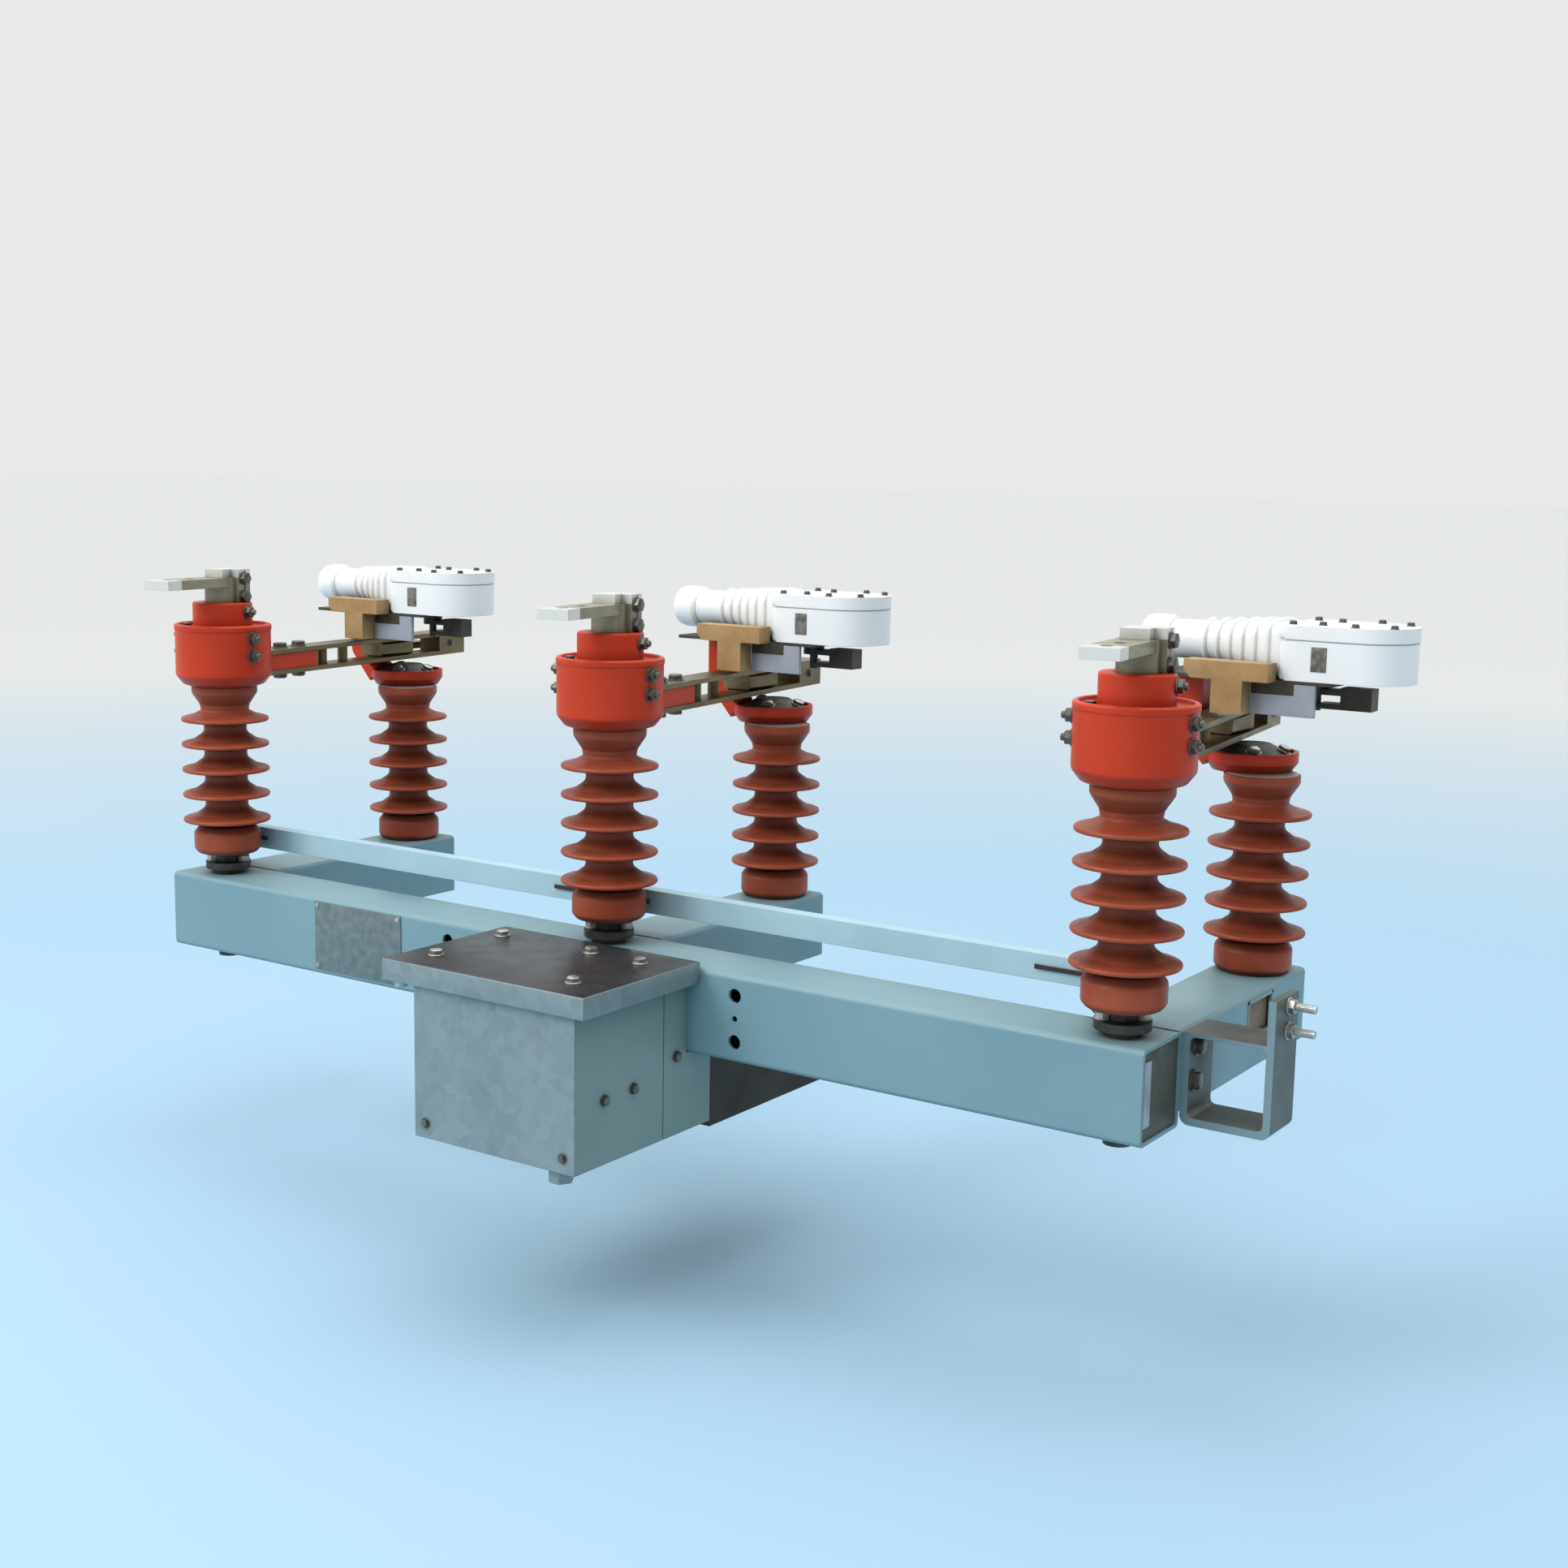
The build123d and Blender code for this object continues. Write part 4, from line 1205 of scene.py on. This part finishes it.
@dataclass
class Interrupter:
    """The white housing: end cap, neck, fins and the flat oval box with its lid."""

    axis_y: float = 316.0
    axis_z: float = 367.0
    cap_end: float = -135.0
    cap_radius: float = 26.0
    neck_radius: float = 21.5
    fins: int = 6
    fin_start: float = -57.0
    fin_pitch: float = 16.3
    fin_clear: float = 3.6
    fin_shape: tuple[Span, ...] = ((-3.2, 0.0), (-1.6, 3.4), (0.0, 4.2), (1.6, 3.4), (3.2, 0.0))
    throat_start: float = -102.0
    throat_step: float = 4.0
    throat_lead: float = 12.0
    throat_overlap: float = 4.0
    throat_half: float = 46.0
    squareness: float = 0.62
    section_steps: int = 48
    box_left: float = 38.0
    box_right: float = 170.0
    box_half: float = 52.0
    box_low: float = 334.0
    box_high: float = 393.0
    box_soft: float = 9.0
    box_straight: float = 30.0
    oval_share: float = 0.94
    lid: float = 16.0
    window_low: Span = (75.0, 345.0)
    window_high: Span = (92.0, 371.0)
    window_depth: Span = (-0.7, 2.0)
    screws: tuple[Span, ...] = ((80, 282), (80, 342), (155, 285), (153, 344), (118, 272), (118, 358),
                                (50, 275), (50, 352))

    def section(self, x: float) -> list[Span]:
        """Draw the housing's cross-section where the neck grows into the box.

        Args:
            x: Place along the housing.

        Returns:
            A closed outline of (y, z) points about the housing's axis.
        """
        length = self.box_left + self.throat_lead - self.fin_start
        share = max(0.0, min(1.0, (x - self.fin_start + self.throat_lead) / length))
        share = share * share * (3 - 2 * share)
        half = self.neck_radius + (self.throat_half - self.neck_radius) * share
        low = self.neck_radius + (self.axis_z - self.box_low - self.neck_radius) * share
        high = self.neck_radius + (self.box_high - self.axis_z - self.neck_radius) * share
        power = 1.0 - self.squareness * share
        points = []
        for step in range(self.section_steps):
            angle = 2 * math.pi * step / self.section_steps
            across, up = math.cos(angle), math.sin(angle)
            y = half * math.copysign(abs(across) ** power, across)
            z = (high if up > 0 else low) * math.copysign(abs(up) ** power, up)
            points.append((y, z))
        return points

    def loft(self, piece: Body, place: Matrix) -> None:
        """Add the growing throat between neck and box, with its fins.

        Args:
            piece: The piece that takes it.
            place: Where the housing goes.
        """
        part = bmesh.new()
        end = self.box_left + self.throat_overlap
        stations: list[Span] = []
        x = self.throat_start
        while x < end:
            stations.append((x, 0.0))
            x += self.throat_step
        for number in range(self.fins):
            at = self.fin_start + number * self.fin_pitch
            stations = [station for station in stations
                        if not at - self.fin_clear < station[0] < at + self.fin_clear]
            stations += [(at + shift, proud) for shift, proud in self.fin_shape]
        stations.sort()
        stations.append((end, 0.0))
        rings = []
        for x, proud in stations:
            ring = []
            for y, z in self.section(x):
                grow = 1 + proud / max(1.0, math.hypot(y, z))
                ring.append(part.verts.new((x, y * grow, z * grow)))
            rings.append(ring)
        for first, second in zip(rings, rings[1:]):
            join(part, first, second)
        part.faces.new(rings[0])
        part.faces.new(rings[-1][::-1])
        piece.take(part, place @ Matrix.Translation((0, self.axis_y, self.axis_z)))

    def oval(self, half: float, left: float, right: float) -> list[Span]:
        """Draw the flat box's outline seen from above.

        Args:
            half: Half of its width.
            left: Its left end.
            right: Its right end.

        Returns:
            The outline's points.
        """
        radius = half * self.oval_share
        inner = left + self.box_straight
        soft = self.box_soft
        points = rounded([(inner, -half), (left, -half, soft), (left, half, soft), (inner, half)])
        for turn in range(90, -91, -6):
            points.append((right - radius + polar(radius, turn)[0], polar(half, turn)[1]))
        return points

    def build(self, phase: Phase) -> None:
        """Build one housing in place of its node.

        Args:
            phase: Its phase.
        """
        place = LAYOUT.matrix(phase)
        piece = Body(f"interrupter_housing_{phase.value}", WHITE, sharp=42)
        tube = place @ Matrix.Translation((self.cap_end, self.axis_y, self.axis_z)) @ ALONG_X
        cap, neck = self.cap_radius, self.neck_radius
        outline = [(0, 0), (cap - 8, 0, 3), (cap - 2, 3, 6), (cap, 12, 6), (cap, 31, 3),
                   (cap - 2.5, 35, 1.5), (neck, 36), (neck, 40), (0, 40)]
        piece.turned(rounded(outline), tube, TUBE_SIDES)
        self.loft(piece, place)
        spot = place @ Matrix.Translation((0, self.axis_y, 0))
        seam = self.box_high - self.lid
        for out, end, low, high, soft in ((0.0, 0.0, self.box_low, seam - 0.6, 5.0),
                                          (-1.2, -1.0, seam - 3.0, seam + 3.0, 0.0),
                                          (0.6, 1.0, seam + 0.6, self.box_high, 4.0)):
            outline = self.oval(self.box_half + out, self.box_left - end, self.box_right + out)
            piece.prism(outline, low, high, spot, soft)
        piece.done(f"interrupter_{phase.value}")
        window = Body(f"housing_window_{phase.value}", WINDOW)
        front = self.axis_y - self.box_half
        (left, foot), (right, top) = self.window_low, self.window_high
        proud, deep = (front + depth for depth in self.window_depth)
        window.block((left, proud, foot), (right, deep, top), place, THIN_EDGE)
        window.done()
        screws = Body(f"housing_screws_{phase.value}", DARK_BOLT)
        for spot in self.screws:
            LID_SCREW.add(screws, (*spot, self.box_high), UP, place)
        screws.done()


@dataclass
class DriveBox:
    """Lid, screws and seams of the drive's box in front of the beam."""

    left: float = -80.0
    right: float = 147.0
    front: float = 238.0
    drop: float = 188.0
    lid_left: float = -120.0
    lid_right: float = 165.0
    lid_front: float = 246.0
    lid_rear: float = 45.0
    lid_top: float = 8.0
    skirt: float = 24.0
    sheet: float = 3.0
    top_inset: float = 0.8
    top_proud: float = 0.2
    lid_bolts: tuple[Span, ...] = ((-89, -84), (-83, -200), (44, -86), (117, -91), (115, -202))
    rod_inset: Span = (17.0, 12.0)
    rod_radius: float = 4.0
    rod_top: float = 5.0
    rod_foot: float = -20.0
    rod_nut: float = -17.0
    cover_screw: Span = (16.0, 17.0)
    side_screws: tuple[Span, ...] = ((-189.5, -117.0), (-140.0, -116.0), (-63.7, -98.0))
    seam: Span = (-87.2, -86.2)
    seam_rise: float = 2.0
    seam_top: float = -17.0
    seam_depth: Span = (-0.5, 0.2)

    def lid(self) -> None:
        """Build the overhanging lid in place of its node, with its bolts."""
        place = LAYOUT.matrix()
        piece = Body("drive_lid", ZINC)
        piece.extra.append(LID_TOP)
        left, right, front, rear = self.lid_left, self.lid_right, -self.lid_front, -self.lid_rear
        foot, top, inset = self.lid_top - self.skirt, self.lid_top, self.top_inset
        behind = front + self.sheet * 0.5
        for low, high in (((left, front, foot), (right, front + self.sheet, top)),
                          ((left, behind, foot), (left + self.sheet, rear, top)),
                          ((right - self.sheet, behind, foot), (right, rear, top))):
            piece.block(low, high, place, SHEET_EDGE)
        low = (left + inset, front + inset, top - self.sheet)
        high = (right - inset, rear, top + self.top_proud)
        piece.block(low, high, place, THIN_EDGE, 1)
        piece.done("mechanism_lid")
        bolts = Body("lid_bolts", BOLT)
        for spot in self.lid_bolts:
            M8.add(bolts, (*spot, top), UP, place)
        x, y = left + self.rod_inset[0], front + self.rod_inset[1]
        rod = [(0, self.rod_top), (self.rod_radius, self.rod_top), (self.rod_radius, self.rod_foot),
               (0, self.rod_foot)]
        bolts.turned(rod, place @ Matrix.Translation((x, y, 0)), THREAD_SIDES)
        M8.add(bolts, (x, y, self.rod_nut), DOWN, place)
        bolts.done()

    def screws(self) -> None:
        """Add the screws of cover and sides."""
        place = LAYOUT.matrix()
        inset, rise = self.cover_screw
        piece = Body("box_screws", DARK_BOLT)
        for x in (self.left + inset, self.right - inset):
            SCREW.add(piece, (x, -self.front, -self.drop + rise), FORWARD, place)
        for side, x in ((1, self.right), (-1, self.left)):
            for spot in self.side_screws:
                M6.add(piece, (x, *spot), (side, 0, 0), place)
        piece.done()

    def seams(self) -> None:
        """Add the dark seam of each side sheet."""
        front, rear = self.seam
        piece = Body("box_seams", DARK)
        for side, face in ((1, self.right), (-1, self.left)):
            low, high = sorted(face + side * depth for depth in self.seam_depth)
            foot = -self.drop + self.seam_rise
            piece.block((low, front, foot), (high, rear, self.seam_top), LAYOUT.matrix(), 0)
        piece.done()

    def build(self) -> None:
        """Build all of them."""
        self.lid()
        self.screws()
        self.seams()


@dataclass
class BeamFittings:
    """Bare plate, light end strips that are partly painted highlight, window trims and the bolts of beam and
    bracket.
    """

    front: float = 45.0
    plate_x: Span = (-438.0, -289.0)
    plate_z: Span = (-91.0, -4.0)
    plate_sheet: float = 1.2
    rivet_inset: float = 5.0
    ends: Span = (-703.0, 692.0)
    end_strip_y: Span = (-39.0, -24.0)
    end_strip_z: Span = (-80.0, -14.0)
    end_strip_depth: Span = (-0.2, 1.6)
    end_strip_edge: float = 0.5
    arm_side: float = 695.0
    window_y: Span = (216.5, 287.5)
    window_z: Span = (-50.5, -5.5)
    trim: float = 4.0
    trim_depth: Span = (-3.5, 0.8)
    insert_y: Span = (214.0, 291.0)
    insert_z: Span = (-54.0, -4.5)
    insert_depth: Span = (-9.0, -5.0)
    bracket_leg: float = 703.0
    bracket_bolts: tuple[Span, ...] = ((63.0, -16.0), (57.0, -51.0))
    mounting_face: float = 790.0
    stud_y: float = 78.0
    stud_levels: Span = (35.0, 10.0)
    stud_reach: float = 28.0
    stud_tip: float = 3.6
    thread_start: float = 7.4
    thread_pitch: float = 1.25
    thread_shape: tuple[Span, ...] = ((4.05, 0.0), (4.35, 0.3), (4.05, 0.6))
    thread_lead: float = 0.4
    thread_room: float = 0.8

    def plate(self) -> None:
        """Fix the bare plate on the beam's front."""
        place = LAYOUT.matrix()
        (left, right), (low, high) = self.plate_x, self.plate_z
        face = -self.front - self.plate_sheet
        piece = Body("bare_beam_plate", NAMEPLATE)
        piece.block((left, face, low), (right, -self.front, high), place, FINE_EDGE)
        piece.done()
        rivets = Body("plate_rivets", BOLT)
        for x in (left + self.rivet_inset, right - self.rivet_inset):
            for z in (low + self.rivet_inset, high - self.rivet_inset):
                RIVET.add(rivets, (x, face, z), FORWARD, place)
        rivets.done()

    def lit_end_strips(self) -> None:
        """Add a light strip at each end of the beam for the front wall's edge: partly bare metal, partly
        painted highlight.
        """
        (front, rear), (foot, top) = self.end_strip_y, self.end_strip_z
        piece = Body("beam_end_bare_lit_strips", GREY_PLATE)
        for side, end in zip((-1, 1), self.ends):
            low, high = sorted(end + side * depth for depth in self.end_strip_depth)
            piece.block((low, front, foot), (high, rear, top), LAYOUT.matrix(), self.end_strip_edge)
        piece.done()

    def windows(self) -> None:
        """Trim the windows of the outer arms and show the insert behind them."""
        trim = Body("arm_window_trims", ZINC)
        insert = Body("arm_window_inserts", INSERT)
        place = LAYOUT.matrix()
        (front, rear), (foot, top), bar = self.window_y, self.window_z, self.trim
        for side in (-1, 1):
            low, high = sorted(side * (self.arm_side + depth) for depth in self.trim_depth)
            for (y_low, z_low), (y_high, z_high) in (
                    ((front, top - bar), (rear, top)), ((front, foot), (rear, foot + bar)),
                    ((front, foot), (front + bar, top)), ((rear - bar, foot), (rear, top))):
                trim.block((low, y_low, z_low), (high, y_high, z_high), place, FINE_EDGE)
            low, high = sorted(side * (self.arm_side + depth) for depth in self.insert_depth)
            (y_low, y_high), (z_low, z_high) = self.insert_y, self.insert_z
            insert.block((low, y_low, z_low), (high, y_high, z_high), place, FINE_EDGE)
        trim.done()
        insert.done()

    def bolts(self) -> None:
        """Add the bracket's bolts, and nuts and threads on the studs."""
        place = LAYOUT.matrix()
        piece = Body("bracket_bolts", DARK_BOLT)
        nuts = Body("stud_nuts", BOLT)
        thread = Body("stud_threads", BOLT)
        for spot in self.bracket_bolts:
            M10.add(piece, (self.bracket_leg, *spot), RIGHTWARD, place)
        for level in self.stud_levels:
            foot = (self.mounting_face, self.stud_y, level)
            M8_STUD.add(nuts, foot, RIGHTWARD, place)
            rings: list[Span] = [(self.stud_tip, self.thread_start - self.thread_lead)]
            reach = self.thread_start
            while reach < self.stud_reach - self.thread_room:
                rings += [(radius, reach + rise) for radius, rise in self.thread_shape]
                reach += self.thread_pitch
            rings.append((self.stud_tip, self.stud_reach - self.thread_lead))
            thread.turned(rings, place @ Matrix.Translation(foot) @ ALONG_X, THREAD_SIDES)
        piece.done()
        nuts.done()
        thread.done()

    def build(self) -> None:
        """Build all of them."""
        self.plate()
        self.lit_end_strips()
        self.windows()
        self.bolts()


@dataclass
class Dressing:
    """Gives the CAD nodes that stay in view their finishes."""

    finishes: dict[str, Finish] = field(default_factory=lambda: {
        "beam": GREEN, "beam_end_plates": SHADED_END_PAINT, "cross_arm": GREEN, "mounting_bracket": BRACKET,
        "mounting_studs": BOLT, "crank_shaft": OILED, "terminal": STEM, "blade": TARNISHED,
        "blade_core": RED, "contact_support": TARNISHED, "contact_caps": RED, "cone_plates": DARK,
        "trigger": DARK, "housing_trays": DARK, "brass_brackets": BRASS, "side_plates": GREY_PLATE,
        "drive_link": LINK, "mechanism_box": BOX_GREEN, "mechanism_cover": ZINC, "gearcase": BROWN_GREY,
        "cable_gland": ZINC})

    def build(self) -> None:
        """Assign every shown node its material."""
        for name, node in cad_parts.items():
            kind = name if name in self.finishes else name.rsplit("_", 1)[0]
            if kind in self.finishes:
                finish = self.finishes[kind]
                node.data.materials.clear()
                node.data.materials.append(Finishes.get(finish))
                LOG.info("node %s in %s", name, finish.name)


def main() -> None:
    """Build the switch's looks, sub-assembly by sub-assembly."""
    logging.basicConfig(level=logging.INFO, format="%(message)s")
    Studio().build()
    Dressing().build()
    hood = Hood()
    for phase in Phase:
        for row in Row:
            Insulator().build(phase, row)
        hood.build(phase)
        Terminal().build(phase, hood)
        Blade().build(phase)
        Interrupter().build(phase)
    FixedContact().build()
    DriveBox().build()
    BeamFittings().build()


if __name__ == "__main__":
    main()
